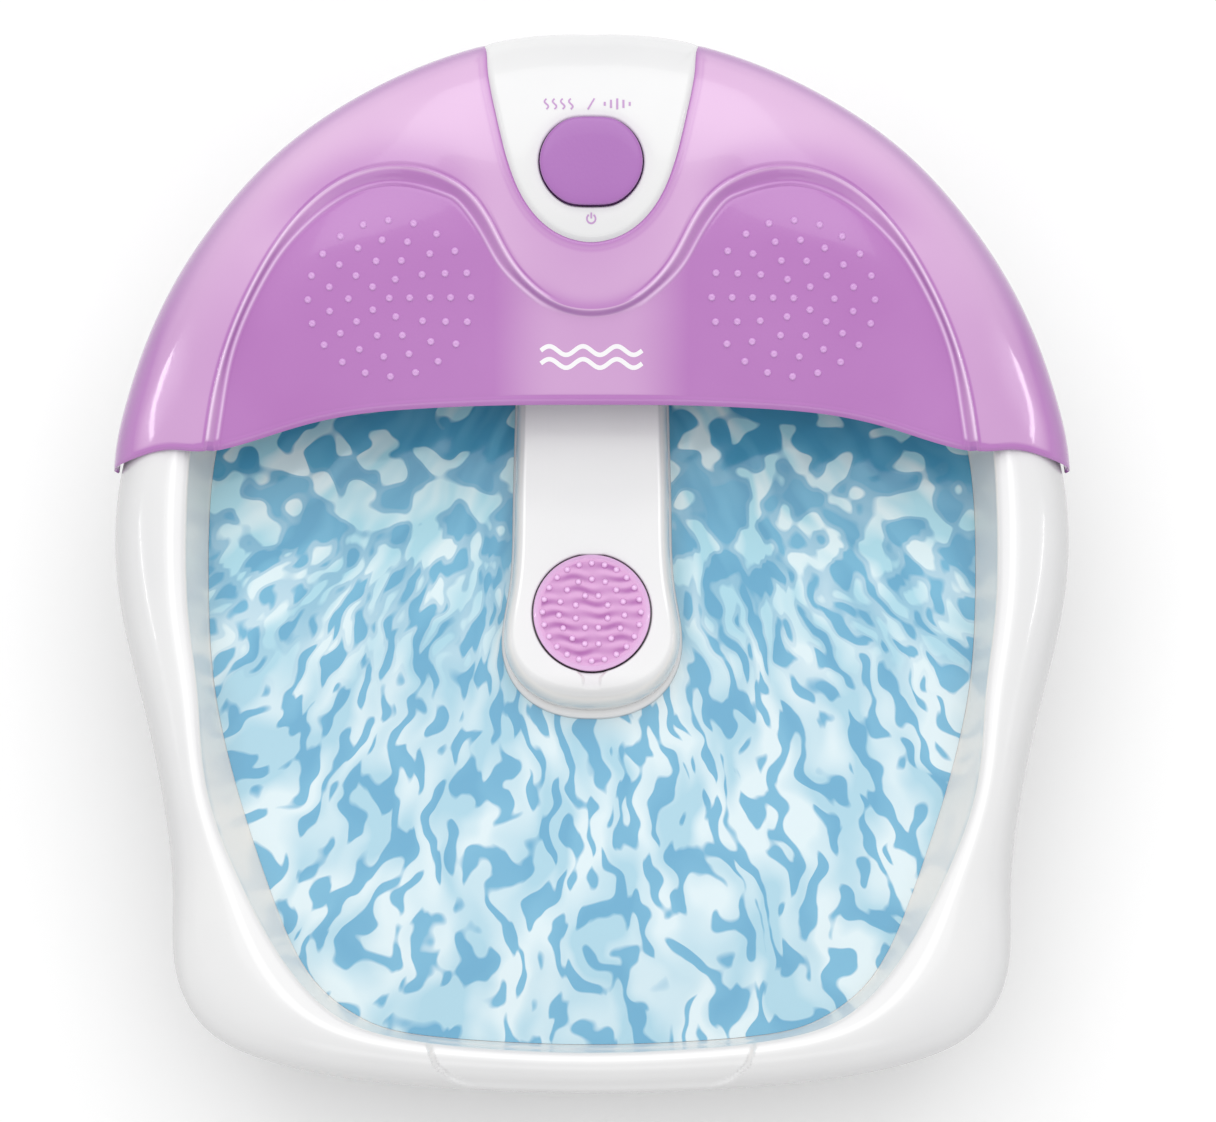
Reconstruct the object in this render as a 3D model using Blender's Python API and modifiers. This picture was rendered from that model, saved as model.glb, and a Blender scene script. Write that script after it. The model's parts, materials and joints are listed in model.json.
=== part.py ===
"""Foot spa basin: tub, splash guard, control panel, centre column, massage disc and drive.

Metres, +Z up.  The origin is on the floor under the middle of the basin, the pouring lip
faces -Y, the control panel is at +Y, and the basin is symmetric about X = 0.
"""
import math

import bpy
import bmesh
import numpy as np
from mathutils import Vector

MM = 0.001

# Heights of the main levels, in metres.
SKIRT_BOTTOM = 0.0035
BASE_UNDERSIDE = 0.0050
BASE_THICKNESS = 0.0025
FLOOR_TOP = 0.0300
WATER_LEVEL = 0.0900
WIDEST_LEVEL = 0.0920
GUARD_SEAM = 0.0955
PLINTH_TOP = 0.0920
COLUMN_TOP = 0.1080
PEDESTAL_TOP = 0.1195

# Walls and gaps.
SHELL_WALL = 0.0025
GUARD_WALL = 0.0016
PANEL_WALL = 0.0022
COLUMN_WALL = 0.0024
GAP = 0.0003

# Rim of the tub: its crest rises gently to the back and drops out of sight under the guard.
CREST_AT_MIDDLE = 0.122
CREST_RISE = 0.04
CREST_UNDER_GUARD = 0.114
CREST_DROP = (0.050, 0.060)
CREST_SHARE = 0.13
MOUTH_BELOW_CREST = 0.003
BOTTOM_TAPER = 0.075

# Pouring lip in the front rim.
LIP_HALF_WIDTH = 0.053
LIP_EDGE = 0.007
LIP_DEPTH = 0.004
LIP_BACK = -0.165

# Splash guard dome.
DOME_CENTRE_Y = 0.040
DOME_FRONT_HEIGHT = 0.1466
DOME_SLOPE = 0.47
DOME_FULLNESS = 3.2
EDGE_HEIGHT_FRONT = 0.097
EDGE_HEIGHT_BACK = 0.165
FOOT_REST_DEPTH = 0.003
FOOT_REST_EDGE = 0.006
SKIRT_DRAFT = 0.0004

# Control panel and button.
PANEL_LIFT = 0.0015
PANEL_GAP = 0.0006
BUTTON_Y = 0.145
BUTTON_HALF = (0.0191, 0.0162)
BUTTON_TRAVEL = 0.0025

# Centre column and massage disc.
COLUMN_REAR = 0.1025
DISC_Y = -0.0133
DISC_RADIUS = 0.0220
WELL_RADIUS = 0.0232
WELL_DEPTH = 0.0050

# Vibration motor in the hollow of the plinth, axis along Y.
MOTOR_Z = 0.060
MOTOR_RADIUS = 0.0150
MOTOR_FRONT = -0.022
MOTOR_LENGTH = 0.034
MOTOR_BOSS_LOW = 0.0810
SHAFT_RADIUS = 0.0016

# Bracket of the push switch, in the button's frame, whose Z is the way the button pops up.
BRACKET_TOP = -0.0163
BRACKET_THICKNESS = 0.0014
BRACKET_SCREWS = (-0.0225, 0.0235)

# Where the screws, feet, circuit board and cord gland sit in plan.
BASE_SCREWS = [(side * x, y) for x, y in ((0.098, -0.095), (0.112, 0.010), (0.062, 0.118))
               for side in (-1, 1)]
COLUMN_SCREWS = ((0.0, 0.035), (0.0, 0.085))
MOTOR_SCREWS = ((-0.0245, -0.005), (0.0245, -0.005))
STRAP_SCREWS = ((-0.068, -0.100), (0.068, -0.100))
POD_SCREWS = ((-0.020, 0.158), (0.020, 0.158))
FEET = (("foot_front_left", -0.112, -0.132), ("foot_front_right", 0.112, -0.132),
        ("foot_rear_left", -0.118, 0.088), ("foot_rear_right", 0.118, 0.088))
BOARD_CENTRE = (0.088, -0.030)
BOARD_SIZE = (0.050, 0.034)
BOARD_THICKNESS = 0.0016
BOARD_Z = 0.0120
GLAND_Y = 0.1797
GLAND_Z = 0.020
GLAND_HOLE = 0.0062
LEAD_RADIUS = 0.0011

# Points made along each stretch between two of the tub's outline points.
STEPS_PER_STATION = 2

# Plan outlines of the tub, in millimetres: front centre, round the +X side, back centre.
OUTER_MM = ((0, -195.3), (42, -194.2), (88, -190.4), (124, -183), (147, -171), (157.5, -154),
            (160.3, -120), (164.5, -84), (172, -50), (181.2, -14), (184.6, 25), (176.4, 68.2),
            (157, 110.8), (120.3, 152.4), (75.3, 179.7), (0, 194.3))
MOUTH_MM = ((0, -180.2), (38, -178.8), (75.4, -174.3), (96, -166.5), (108, -156), (117, -144.5),
            (131.1, -119.1), (145, -83), (149.1, -47), (153.2, -14), (154.1, 24), (150.5, 62),
            (136, 96), (106, 131), (66, 154), (0, 165))
WATER_MM = ((0, -177.2), (37, -176), (72, -172.5), (90, -166), (103, -156.3), (111.7, -145),
            (123.5, -118.6), (136, -82), (144.8, -47), (148.4, -14), (149, 24), (145, 60),
            (131, 93), (102, 127), (63.5, 149.5), (0, 160))
FLOOR_MM = ((0, -166), (35, -165), (66, -161), (82, -154), (94, -144), (102, -132),
            (113, -110), (124.5, -78), (133, -46), (137, -14), (138, 22), (134, 56),
            (120, 86), (93, 117), (58, 138), (0, 148))

# Outline of the guard from its side tip to the back centre, and its front edge.
GUARD_MM = ((185, 43.4), (184.3, 50.5), (179.8, 69.1), (171.7, 90.9), (160.1, 112.6),
            (144, 134.1), (122.9, 155.2), (91, 175.8), (59, 189), (39.4, 194.2), (0, 197))
GUARD_FRONT_MM = ((0, 61.2), (34, 61), (64, 59.9), (87, 58.1), (110, 53.8), (132, 47.7),
                  (142.5, 45.7), (150, 45.4), (160, 46.8), (171, 45.9), (181, 44), (185, 43.4))

# Inner edge of the foot rests, and the notch of the guard that takes the control panel.
FOOT_REST_MM = ((0, 94.2), (14.9, 97.6), (23.5, 102.2), (32.2, 109.5), (39.3, 119.4),
                (46.5, 132.9), (55.2, 140.2), (72.2, 144.4), (91.3, 139), (102.5, 131.3),
                (114.8, 118.3), (127.3, 97.2), (135.9, 69.4), (139.3, 47.5))
NOTCH_MM = ((3, 117.9), (8, 119), (12.6, 120.9), (19.3, 125.8), (25.5, 134), (30.3, 145.6),
            (34.7, 163), (37.8, 180), (38.7, 190.5))

# Outline of the column cover, from the middle of its rounded front end to its rear corner.
COLUMN_MM = ((0, -49.1), (14, -47.3), (26.5, -40), (33.4, -27), (31.6, -5), (29.8, 30),
             (29, 66), (28.6, 103))
PLINTH_GROWTH = 0.0035


def clear_scene():
    for item in list(bpy.data.objects):
        bpy.data.objects.remove(item)


def collection(name):
    group = bpy.data.collections.new(name)
    bpy.context.scene.collection.children.link(group)
    return group


def material(name, colour, roughness, metallic=0.0):
    made = bpy.data.materials.new(name)
    made.use_nodes = True
    made.diffuse_color = (*colour, 1.0)
    shader = made.node_tree.nodes["Principled BSDF"]
    shader.inputs["Base Color"].default_value = (*colour, 1.0)
    shader.inputs["Roughness"].default_value = roughness
    shader.inputs["Metallic"].default_value = metallic
    return made


clear_scene()
PARTS = collection("foot_spa_basin")
CUTTERS = collection("cutters")

WHITE = material("white_gloss_plastic", (0.86, 0.86, 0.87), 0.22)
BASE_WHITE = material("white_matte_plastic", (0.78, 0.78, 0.79), 0.50)
PURPLE = material("purple_gloss_plastic", (0.56, 0.26, 0.62), 0.20)
BUTTON_PURPLE = material("button_purple_plastic", (0.47, 0.20, 0.55), 0.28)
PINK = material("pink_soft_plastic", (0.74, 0.30, 0.66), 0.35)
BLACK_RUBBER = material("black_rubber", (0.03, 0.03, 0.03), 0.80)
GREY_RUBBER = material("grey_rubber", (0.35, 0.35, 0.36), 0.75)
STEEL = material("zinc_plated_steel", (0.62, 0.63, 0.64), 0.35, 1.0)
BRASS = material("brass", (0.75, 0.57, 0.25), 0.30, 1.0)
COPPER = material("copper_winding", (0.68, 0.34, 0.18), 0.35, 1.0)
FERRITE = material("ferrite_magnet", (0.10, 0.10, 0.11), 0.60)
ALUMINIUM = material("aluminium", (0.75, 0.76, 0.77), 0.30, 1.0)
SILICONE = material("red_silicone", (0.52, 0.12, 0.08), 0.60)
BOARD_GREEN = material("green_board", (0.05, 0.22, 0.10), 0.45)
BLACK_PLASTIC = material("black_plastic", (0.04, 0.04, 0.045), 0.40)


def add_object(name, mesh, look, group=None):
    item = bpy.data.objects.new(name, mesh)
    (group or PARTS).objects.link(item)
    if look is not None:
        mesh.materials.append(look)
    return item


def smooth(item, degrees=35.0):
    item.data.shade_smooth()
    item.data.set_sharp_from_angle(angle=math.radians(degrees))


def mesh_of(name, points, faces):
    mesh = bpy.data.meshes.new(name)
    mesh.from_pydata([tuple(map(float, point)) for point in points], [], faces)
    mesh.update()
    return mesh


def mirrored_path(half):
    """Whole path, from its -X end to its +X end, of a half that starts at X = 0."""
    right = np.array(half, dtype=float) * MM
    left = right[:0:-1] * (-1.0, 1.0)
    return np.vstack((left, right))


def chord_knots(points):
    steps = np.linalg.norm(np.diff(points, axis=0), axis=1)
    return np.concatenate(([0.0], np.cumsum(steps)))


def spline(points, knots, places):
    """Points at the given places of the natural cubic curve through the given ones."""
    points = np.asarray(points, dtype=float)
    gaps = np.diff(knots)
    slopes = (np.diff(points, axis=0).T / gaps).T
    count = len(points)
    system = np.eye(count)
    bends = np.zeros_like(points)
    for i in range(1, count - 1):
        system[i, i - 1:i + 2] = gaps[i - 1], 2.0 * (gaps[i - 1] + gaps[i]), gaps[i]
        bends[i] = 6.0 * (slopes[i] - slopes[i - 1])
    bends = np.linalg.solve(system, bends)
    span = np.clip(np.searchsorted(knots, places, side="right") - 1, 0, count - 2)
    gap = gaps[span]
    after = np.asarray(places) - knots[span]
    before = gap - after
    shape = (-1,) + (1,) * (points.ndim - 1)
    gap, after, before = gap.reshape(shape), after.reshape(shape), before.reshape(shape)
    curved = (bends[span] * before ** 3 + bends[span + 1] * after ** 3) / (6.0 * gap)
    start = (points[span] / gap - bends[span] * gap / 6.0) * before
    end = (points[span + 1] / gap - bends[span + 1] * gap / 6.0) * after
    return curved + start + end


def smoothstep(low, high, value):
    share = np.clip((value - low) / (high - low), 0.0, 1.0)
    return share * share * (3.0 - 2.0 * share)


def outward(path, closed):
    """Unit normals, to the right of the way the path runs."""
    if closed:
        along = np.roll(path, -1, axis=0) - np.roll(path, 1, axis=0)
    else:
        along = np.gradient(path, axis=0)
    normal = np.column_stack((along[:, 1], -along[:, 0]))
    return normal / np.linalg.norm(normal, axis=1)[:, None]


def at_height(plan, height):
    return np.column_stack((plan, np.broadcast_to(height, len(plan))))


def lofted_mesh(name, rings, cap_start=False, cap_end=False, closed=True):
    """Skin over rings of equal length, each given from below upwards and anticlockwise."""
    count = len(rings[0])
    faces = []
    for row in range(len(rings) - 1):
        low = row * count
        high = low + count
        for i in range(count if closed else count - 1):
            j = (i + 1) % count
            faces.append((low + i, low + j, high + j, high + i))
    if cap_start:
        faces.append(tuple(reversed(range(count))))
    if cap_end:
        last = (len(rings) - 1) * count
        faces.append(tuple(range(last, last + count)))
    return mesh_of(name, np.vstack(rings), faces)


def solidify(item, thickness):
    """Give a skin its wall on the side away from its normals."""
    wall = item.modifiers.new("wall", "SOLIDIFY")
    wall.thickness = thickness
    wall.offset = -1.0
    wall.use_even_offset = True
    wall.use_quality_normals = True


def mirror(item):
    half = item.modifiers.new("other_side", "MIRROR")
    half.use_clip = True
    half.merge_threshold = 0.00001


def boolean(item, other, operation):
    step = item.modifiers.new(operation.lower(), "BOOLEAN")
    step.operation = operation
    step.object = other
    step.solver = "EXACT"


def make_cutter(item):
    for group in list(item.users_collection):
        group.objects.unlink(item)
    CUTTERS.objects.link(item)
    item.hide_render = True
    item.display_type = "WIRE"
    return item


def turned(name, profile, look, steps=16):
    """Body turned about Z from (radius, height) points, top to bottom, in metres."""
    points = [(radius, 0.0, height) for radius, height in profile]
    mesh = bpy.data.meshes.new(name)
    mesh.from_pydata(points, [(i, i + 1) for i in range(len(points) - 1)], [])
    item = add_object(name, mesh, look)
    screw = item.modifiers.new("turn", "SCREW")
    screw.steps = steps
    screw.render_steps = steps
    screw.use_merge_vertices = True
    screw.merge_threshold = 0.00001
    screw.use_smooth_shade = True
    return item


def cylinder(name, radius, low, high, look, steps=16):
    return turned(name, ((0, high), (radius, high), (radius, low), (0, low)), look, steps)


def box(name, size, centre, look, bevel=0.0):
    mesh = bpy.data.meshes.new(name)
    shape = bmesh.new()
    bmesh.ops.create_cube(shape, size=1.0)
    bmesh.ops.scale(shape, vec=size, verts=shape.verts)
    shape.to_mesh(mesh)
    shape.free()
    item = add_object(name, mesh, look)
    item.location = centre
    if bevel:
        edge = item.modifiers.new("edge", "BEVEL")
        edge.width = bevel
        edge.segments = 1
    return item


def prism(name, outline, low, high, look):
    """Flat body with a straight side, from an anticlockwise outline."""
    rings = (at_height(outline, low), at_height(outline, high))
    return add_object(name, lofted_mesh(name, rings, True, True), look)


def tube(name, route, radius, look):
    """Round lead along a smooth curve through the route, as a mesh with welded caps."""
    route = np.array(route, dtype=float) * MM
    knots = chord_knots(route)
    count = max(8, int(knots[-1] / (radius * 6.0)))
    path = spline(route, knots, np.linspace(0.0, knots[-1], count))
    curve = bpy.data.curves.new(name, "CURVE")
    curve.dimensions = "3D"
    curve.bevel_depth = radius
    curve.bevel_resolution = 1
    curve.use_fill_caps = True
    line = curve.splines.new("POLY")
    line.points.add(len(path) - 1)
    for point, place in zip(line.points, path):
        point.co = (*place, 1.0)
    item = bpy.data.objects.new(name, curve)
    PARTS.objects.link(item)
    curve.materials.append(look)
    return item


def circle(radius, count, centre=(0.0, 0.0), phase=0.0):
    angles = phase + np.arange(count) * 2.0 * math.pi / count
    return np.column_stack((np.cos(angles), np.sin(angles))) * radius + centre


# ---------------------------------------------------------------- tub outlines

def closed_ring(half):
    """Ring through a half outline and its mirror image, at the same places as every other."""
    def whole(points):
        right = np.array(points, dtype=float)
        return np.vstack((right, right[-2:0:-1] * (-1.0, 1.0))) * MM
    wrap = 6
    points = whole(half)
    guide = whole(OUTER_MM)
    knots = chord_knots(np.vstack((guide[-wrap:], guide, guide[:wrap + 1])))
    padded = np.vstack((points[-wrap:], points, points[:wrap + 1]))
    shares = np.arange(len(guide) * STEPS_PER_STATION) / STEPS_PER_STATION
    places = np.interp(shares, np.arange(len(guide) + 1), knots[wrap:wrap + len(guide) + 1])
    return spline(padded, knots, places)


def crest_height(y):
    shown = CREST_AT_MIDDLE + CREST_RISE * y
    hidden = smoothstep(CREST_DROP[0], CREST_DROP[1], y)
    return shown * (1.0 - hidden) + CREST_UNDER_GUARD * hidden


def lip_drop(plan):
    """Depth of the pouring lip at a point of the front rim."""
    across = smoothstep(LIP_HALF_WIDTH + LIP_EDGE, LIP_HALF_WIDTH - LIP_EDGE, np.abs(plan[:, 0]))
    return LIP_DEPTH * across * (plan[:, 1] < LIP_BACK)


def tub_rings():
    outer, mouth, water, floor = map(closed_ring, (OUTER_MM, MOUTH_MM, WATER_MM, FLOOR_MM))
    crest = mouth + (outer - mouth) * CREST_SHARE
    top = crest_height(crest[:, 1]) - lip_drop(crest)
    rings = []
    for height in (SKIRT_BOTTOM, 0.055):
        depth = (WIDEST_LEVEL - height) / (WIDEST_LEVEL - SKIRT_BOTTOM)
        rings.append(at_height(outer * (1.0 - BOTTOM_TAPER * depth ** 1.8), height))
    for degrees in (0, 30, 60, 90):
        turn = math.radians(degrees)
        plan = outer + (crest - outer) * (1.0 - math.cos(turn))
        rings.append(at_height(plan, WIDEST_LEVEL + (top - WIDEST_LEVEL) * math.sin(turn)))
    rings.append(at_height(mouth, top - MOUTH_BELOW_CREST))
    rings.append(at_height(water, WATER_LEVEL))
    rings.append(at_height(floor + (water - floor) * 0.35, FLOOR_TOP + 0.020))
    rings.append(at_height(floor, FLOOR_TOP + 0.004))
    rings.append(at_height(floor * 0.95, FLOOR_TOP))
    return rings


def base_outline(height, inset):
    """Inner face of the skirt at a height, moved inwards."""
    depth = (WIDEST_LEVEL - height) / (WIDEST_LEVEL - SKIRT_BOTTOM)
    ring = closed_ring(OUTER_MM) * (1.0 - BOTTOM_TAPER * depth ** 1.8)
    return ring - outward(ring, True) * inset


# ---------------------------------------------------------------- column outline

def column_outline(grow, rear, count=30):
    """Column outline grown by a distance, from its -X rear corner round the front."""
    path = mirrored_path(COLUMN_MM)
    knots = chord_knots(path)
    places = np.linspace(0.0, knots[-1], count)
    curve = spline(path, knots, places)
    curve = curve + outward(curve, False) * grow
    curve[0] = (curve[1, 0], rear)
    curve[-1] = (curve[-2, 0], rear)
    return curve


def pedestal_outline(inset, rear):
    path = mirrored_path(((0, 104), (20, 107), (30, 120), (34, 150), (35, 178)))
    knots = chord_knots(path)
    curve = spline(path, knots, np.linspace(0.0, knots[-1], 20))
    curve = curve - outward(curve, False) * inset
    curve[0, 1] = rear
    curve[-1, 1] = rear
    return curve


# ---------------------------------------------------------------- basin

def placed_cylinder(name, radius, low, high, place, steps=12):
    item = cylinder(name, radius, low, high, None, steps)
    item.location = (place[0], place[1], 0.0)
    return make_cutter(item)


def plinth_body(name, inset, low, top):
    """Drafted body of the column's plinth; the cavity is the same body, one wall smaller."""
    rear = 0.120
    rings = (at_height(column_outline(PLINTH_GROWTH + 0.005 - inset, rear), low),
             at_height(column_outline(PLINTH_GROWTH - inset, rear), top - 0.0012),
             at_height(column_outline(PLINTH_GROWTH - inset - 0.0012, rear), top))
    return make_cutter(add_object(name, lofted_mesh(name, rings, True, True), None))


def pedestal_body(name, inset, low, top, rear):
    rings = (at_height(pedestal_outline(inset - 0.003, rear), low),
             at_height(pedestal_outline(inset, rear), top))
    return make_cutter(add_object(name, lofted_mesh(name, rings, True, True), None))


def basin_shell():
    item = add_object("basin_shell", lofted_mesh("basin_shell", tub_rings(), False, True), WHITE)
    solidify(item, SHELL_WALL)
    under_floor = FLOOR_TOP - SHELL_WALL
    boolean(item, plinth_body("plinth", 0.0, FLOOR_TOP - 0.001, PLINTH_TOP), "UNION")
    boolean(item, pedestal_body("pedestal", 0.0, FLOOR_TOP - 0.001, PEDESTAL_TOP, 0.178), "UNION")
    boolean(item, plinth_body("plinth_hollow", SHELL_WALL, 0.015, PLINTH_TOP - SHELL_WALL), "DIFFERENCE")
    boolean(item, pedestal_body("pedestal_hollow", SHELL_WALL, 0.015, PEDESTAL_TOP - SHELL_WALL, 0.1755),
            "DIFFERENCE")
    base_top = BASE_UNDERSIDE + BASE_THICKNESS
    for index, place in enumerate(BASE_SCREWS):
        boss = placed_cylinder(f"base_boss_{index}", 0.0045, base_top + GAP, under_floor + 0.001, place)
        boolean(item, boss, "UNION")
        hole = placed_cylinder(f"base_boss_hole_{index}", 0.0017, 0.0, under_floor - 0.003, place, 8)
        boolean(item, hole, "DIFFERENCE")
    for index, place in enumerate(STRAP_SCREWS):
        boss = placed_cylinder(f"strap_boss_{index}", 0.0045, 0.0204, under_floor + 0.001, place)
        boolean(item, boss, "UNION")
        hole = placed_cylinder(f"strap_boss_hole_{index}", 0.0017, 0.0, under_floor - 0.001, place, 8)
        boolean(item, hole, "DIFFERENCE")
    under_plinth = PLINTH_TOP - SHELL_WALL
    for index, place in enumerate(MOTOR_SCREWS):
        boss = placed_cylinder(f"motor_boss_{index}", 0.0042, MOTOR_BOSS_LOW, under_plinth + 0.001, place)
        boolean(item, boss, "UNION")
        hole = placed_cylinder(f"motor_boss_hole_{index}", 0.0016, 0.0700, under_plinth - 0.001, place, 8)
        boolean(item, hole, "DIFFERENCE")
    for index, place in enumerate(COLUMN_SCREWS):
        hole = placed_cylinder(f"column_screw_hole_{index}", 0.0022, 0.080, 0.100, place, 10)
        boolean(item, hole, "DIFFERENCE")
    for index, place in enumerate(POD_SCREWS):
        hole = placed_cylinder(f"pod_screw_hole_{index}", 0.0020, 0.110, 0.125, place, 10)
        boolean(item, hole, "DIFFERENCE")
    lead_hole = box("lead_hole", (0.018, 0.012, 0.020), (0.0, 0.140, PEDESTAL_TOP), None)
    boolean(item, make_cutter(lead_hole), "DIFFERENCE")
    gland_hole = cylinder("gland_hole", GLAND_HOLE, -0.020, 0.020, None, 16)
    gland_hole.location = (0.0, 0.182, GLAND_Z)
    gland_hole.rotation_euler = (math.radians(90), 0.0, 0.0)
    boolean(item, make_cutter(gland_hole), "DIFFERENCE")
    smooth(item)


# ---------------------------------------------------------------- base, feet, screws

def base_cover():
    ring = base_outline(BASE_UNDERSIDE, SHELL_WALL + 0.0007)
    item = prism("base_cover", ring, BASE_UNDERSIDE, BASE_UNDERSIDE + BASE_THICKNESS, BASE_WHITE)
    for index, place in enumerate(BASE_SCREWS):
        boolean(item, placed_cylinder(f"base_hole_{index}", 0.0022, 0.0, 0.015, place, 8), "DIFFERENCE")
    for name, x, y in FEET:
        boolean(item, placed_cylinder(f"{name}_hole", 0.0033, 0.0, 0.015, (x, y), 12), "DIFFERENCE")
    for index, side in enumerate((-1, 1)):
        place = (BOARD_CENTRE[0] + side * 0.020, BOARD_CENTRE[1])
        post = placed_cylinder(f"board_post_{index}", 0.0035, 0.0070, BOARD_Z - GAP, place)
        boolean(item, post, "UNION")


def rubber_foot(name, x, y):
    top = BASE_UNDERSIDE - GAP
    profile = ((0, 0.0105), (0.0022, 0.0105), (0.0029, 0.0095), (0.0029, top), (0.0090, top),
               (0.0094, top - 0.0007), (0.0086, 0.0), (0, 0))
    turned(name, profile, BLACK_RUBBER, 14).location = (x, y, 0.0)


def screw(name, place, shank, length, head, head_height, upwards=True):
    """Pan head screw; its head's seat is at the given place."""
    profile = ((0, length), (shank * 0.5, length), (shank, length - 0.0012), (shank, 0),
               (head, 0), (head, -head_height * 0.6), (head * 0.6, -head_height), (0, -head_height))
    item = turned(name, profile, STEEL, 8)
    item.location = place
    if not upwards:
        item.rotation_euler = (math.pi, 0.0, 0.0)
    return item


def base_screws():
    for index, (x, y) in enumerate(BASE_SCREWS):
        place = (x, y, BASE_UNDERSIDE - GAP)
        screw(f"base_screw_{index + 1}", place, 0.0014, 0.0150, 0.0034, 0.0016)


# ---------------------------------------------------------------- splash guard

def dome_edge():
    """Angle about the dome's centre, and radius, along the guard's outline."""
    path = np.array(GUARD_MM, dtype=float) * MM - (0.0, DOME_CENTRE_Y)
    return np.arctan2(path[:, 1], path[:, 0]), np.linalg.norm(path, axis=1)


def front_edge_y(x):
    path = mirrored_path(GUARD_FRONT_MM)
    return spline(path[:, 1], path[:, 0], x)


def edge_height(angle):
    rise = np.sin(np.clip(angle, 0.0, math.pi / 2.0)) ** 1.3
    return EDGE_HEIGHT_FRONT + (EDGE_HEIGHT_BACK - EDGE_HEIGHT_FRONT) * rise


def dome_height(x, y):
    """Height of the guard's smooth outer surface over a point of the plan."""
    x = np.abs(x)
    angle = np.arctan2(y - DOME_CENTRE_Y, np.maximum(x, 1e-9))
    angles, radii = dome_edge()
    reach = spline(radii, angles, np.clip(angle, angles[0], angles[-1]))
    share = np.clip(np.hypot(x, y - DOME_CENTRE_Y) / reach, 0.0, 1.0)
    top = DOME_FRONT_HEIGHT + DOME_SLOPE * (y - front_edge_y(x))
    edge = edge_height(angle)
    return edge + (top - edge) * np.sqrt(1.0 - share ** DOME_FULLNESS)


def foot_rest_depth(x, y):
    """Depth of the two foot rests below the smooth surface."""
    path = mirrored_path(FOOT_REST_MM)
    knots = chord_knots(path)
    edge = spline(path, knots, np.linspace(0.0, knots[-1], 120))
    points = np.stack((np.ravel(x), np.ravel(y)), axis=1)
    far = np.min(np.linalg.norm(points[:, None] - edge[None], axis=2), axis=1)
    limit = np.interp(points[:, 0], edge[:, 0], edge[:, 1], left=0.0, right=0.0)
    inside = np.where(points[:, 1] < limit, far, -far)
    return (FOOT_REST_DEPTH * smoothstep(0.0, FOOT_REST_EDGE, inside)).reshape(np.shape(x))


def notch_edge(count):
    """Points along the notch's edge, closer together round its tip."""
    path = np.array(NOTCH_MM, dtype=float) * MM
    knots = chord_knots(path)
    return spline(path, knots, knots[-1] * np.linspace(0.0, 1.0, count) ** 1.6)


def guard_inner_line(rows_front, rows_notch):
    """Middle line up to the notch, then the notch's edge up to the back."""
    ahead = np.linspace(GUARD_FRONT_MM[0][1] * MM, NOTCH_MM[0][1] * MM - 0.0004, rows_front)
    middle = np.column_stack((np.zeros(rows_front), ahead))
    return np.vstack((middle, notch_edge(rows_notch)))


def guard_outer_line(count):
    path = np.array(GUARD_MM[:-1], dtype=float) * MM
    knots = chord_knots(path)
    share = np.linspace(0.0, 1.0, count)
    return spline(path, knots, knots[-1] * share)


def splash_guard():
    rows_front, rows_notch, columns = 6, 11, 14
    inner = guard_inner_line(rows_front, rows_notch)
    outer = guard_outer_line(len(inner))
    share = 1.0 - (1.0 - np.linspace(0.0, 1.0, columns)) ** 1.7
    plan = inner[:, None] + (outer - inner)[:, None] * share[None, :, None]
    bow = np.linspace(1.0, 0.0, len(inner))[:, None] ** 3
    straight = inner[:1, 1:] + (outer[:1, 1:] - inner[:1, 1:]) * share[None, :]
    plan[:, :, 1] += (front_edge_y(plan[0, :, 0]) - straight[0])[None, :] * bow
    x, y = plan[:, :, 0], plan[:, :, 1]
    height = dome_height(x.ravel(), y.ravel()).reshape(x.shape) - foot_rest_depth(x, y)
    grid = np.dstack((x, y, height))
    side = np.column_stack((outer, grid[:, -1, 2]))
    towards = outer - (0.0, DOME_CENTRE_Y)
    towards = towards / np.linalg.norm(towards, axis=1)[:, None]
    foot = at_height(outer - towards * SKIRT_DRAFT, GUARD_SEAM)
    middle = (side + foot) / 2.0 + np.column_stack((towards, np.zeros(len(towards)))) * 0.0002
    grid = np.concatenate((grid, middle[:, None], foot[:, None]), axis=1)
    item = add_object("splash_guard", lofted_mesh("splash_guard", list(grid), closed=False), PURPLE)
    mirror(item)
    solidify(item, GUARD_WALL)
    smooth(item, 45.0)
    return item


# ---------------------------------------------------------------- control panel and switch

def panel_back_y(x):
    path = np.array(GUARD_MM[-3:], dtype=float)[::-1] * MM
    path = np.vstack((path[:0:-1] * (-1.0, 1.0), path))
    return spline(path[:, 1], path[:, 0], x) + 0.0006


def button_tilt():
    step = 0.004
    rise = dome_height(np.zeros(2), np.array((BUTTON_Y - step, BUTTON_Y + step)))
    return math.atan2(rise[1] - rise[0], 2.0 * step)


def button_place():
    lift = dome_height(np.zeros(1), np.array((BUTTON_Y,)))[0] + PANEL_LIFT
    return Vector((0.0, BUTTON_Y, lift))


def panel_over_bracket(y):
    """Height of the panel's outer face in the button's frame, at a distance along the slope."""
    tilt = button_tilt()
    reach = BUTTON_Y + y * math.cos(tilt)
    rise = dome_height(np.zeros(1), np.array((reach,)))[0] + PANEL_LIFT - button_place().z
    return rise * math.cos(tilt) - (reach - BUTTON_Y) * math.sin(tilt)


def oval(grow, count=32, power=2.6):
    angles = np.arange(count) * 2.0 * math.pi / count
    across, along = np.cos(angles), np.sin(angles)
    radius = (np.abs(across) ** power + np.abs(along) ** power) ** (-1.0 / power)
    half = np.array(BUTTON_HALF) + grow
    return np.column_stack((across * radius, along * radius)) * half


def switch_frame():
    """Empty on the panel under the button; its Z is the way the button pops up."""
    empty = bpy.data.objects.new("button_axis", None)
    PARTS.objects.link(empty)
    empty.location = button_place()
    empty.rotation_euler = (button_tilt(), 0.0, 0.0)
    return empty


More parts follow.
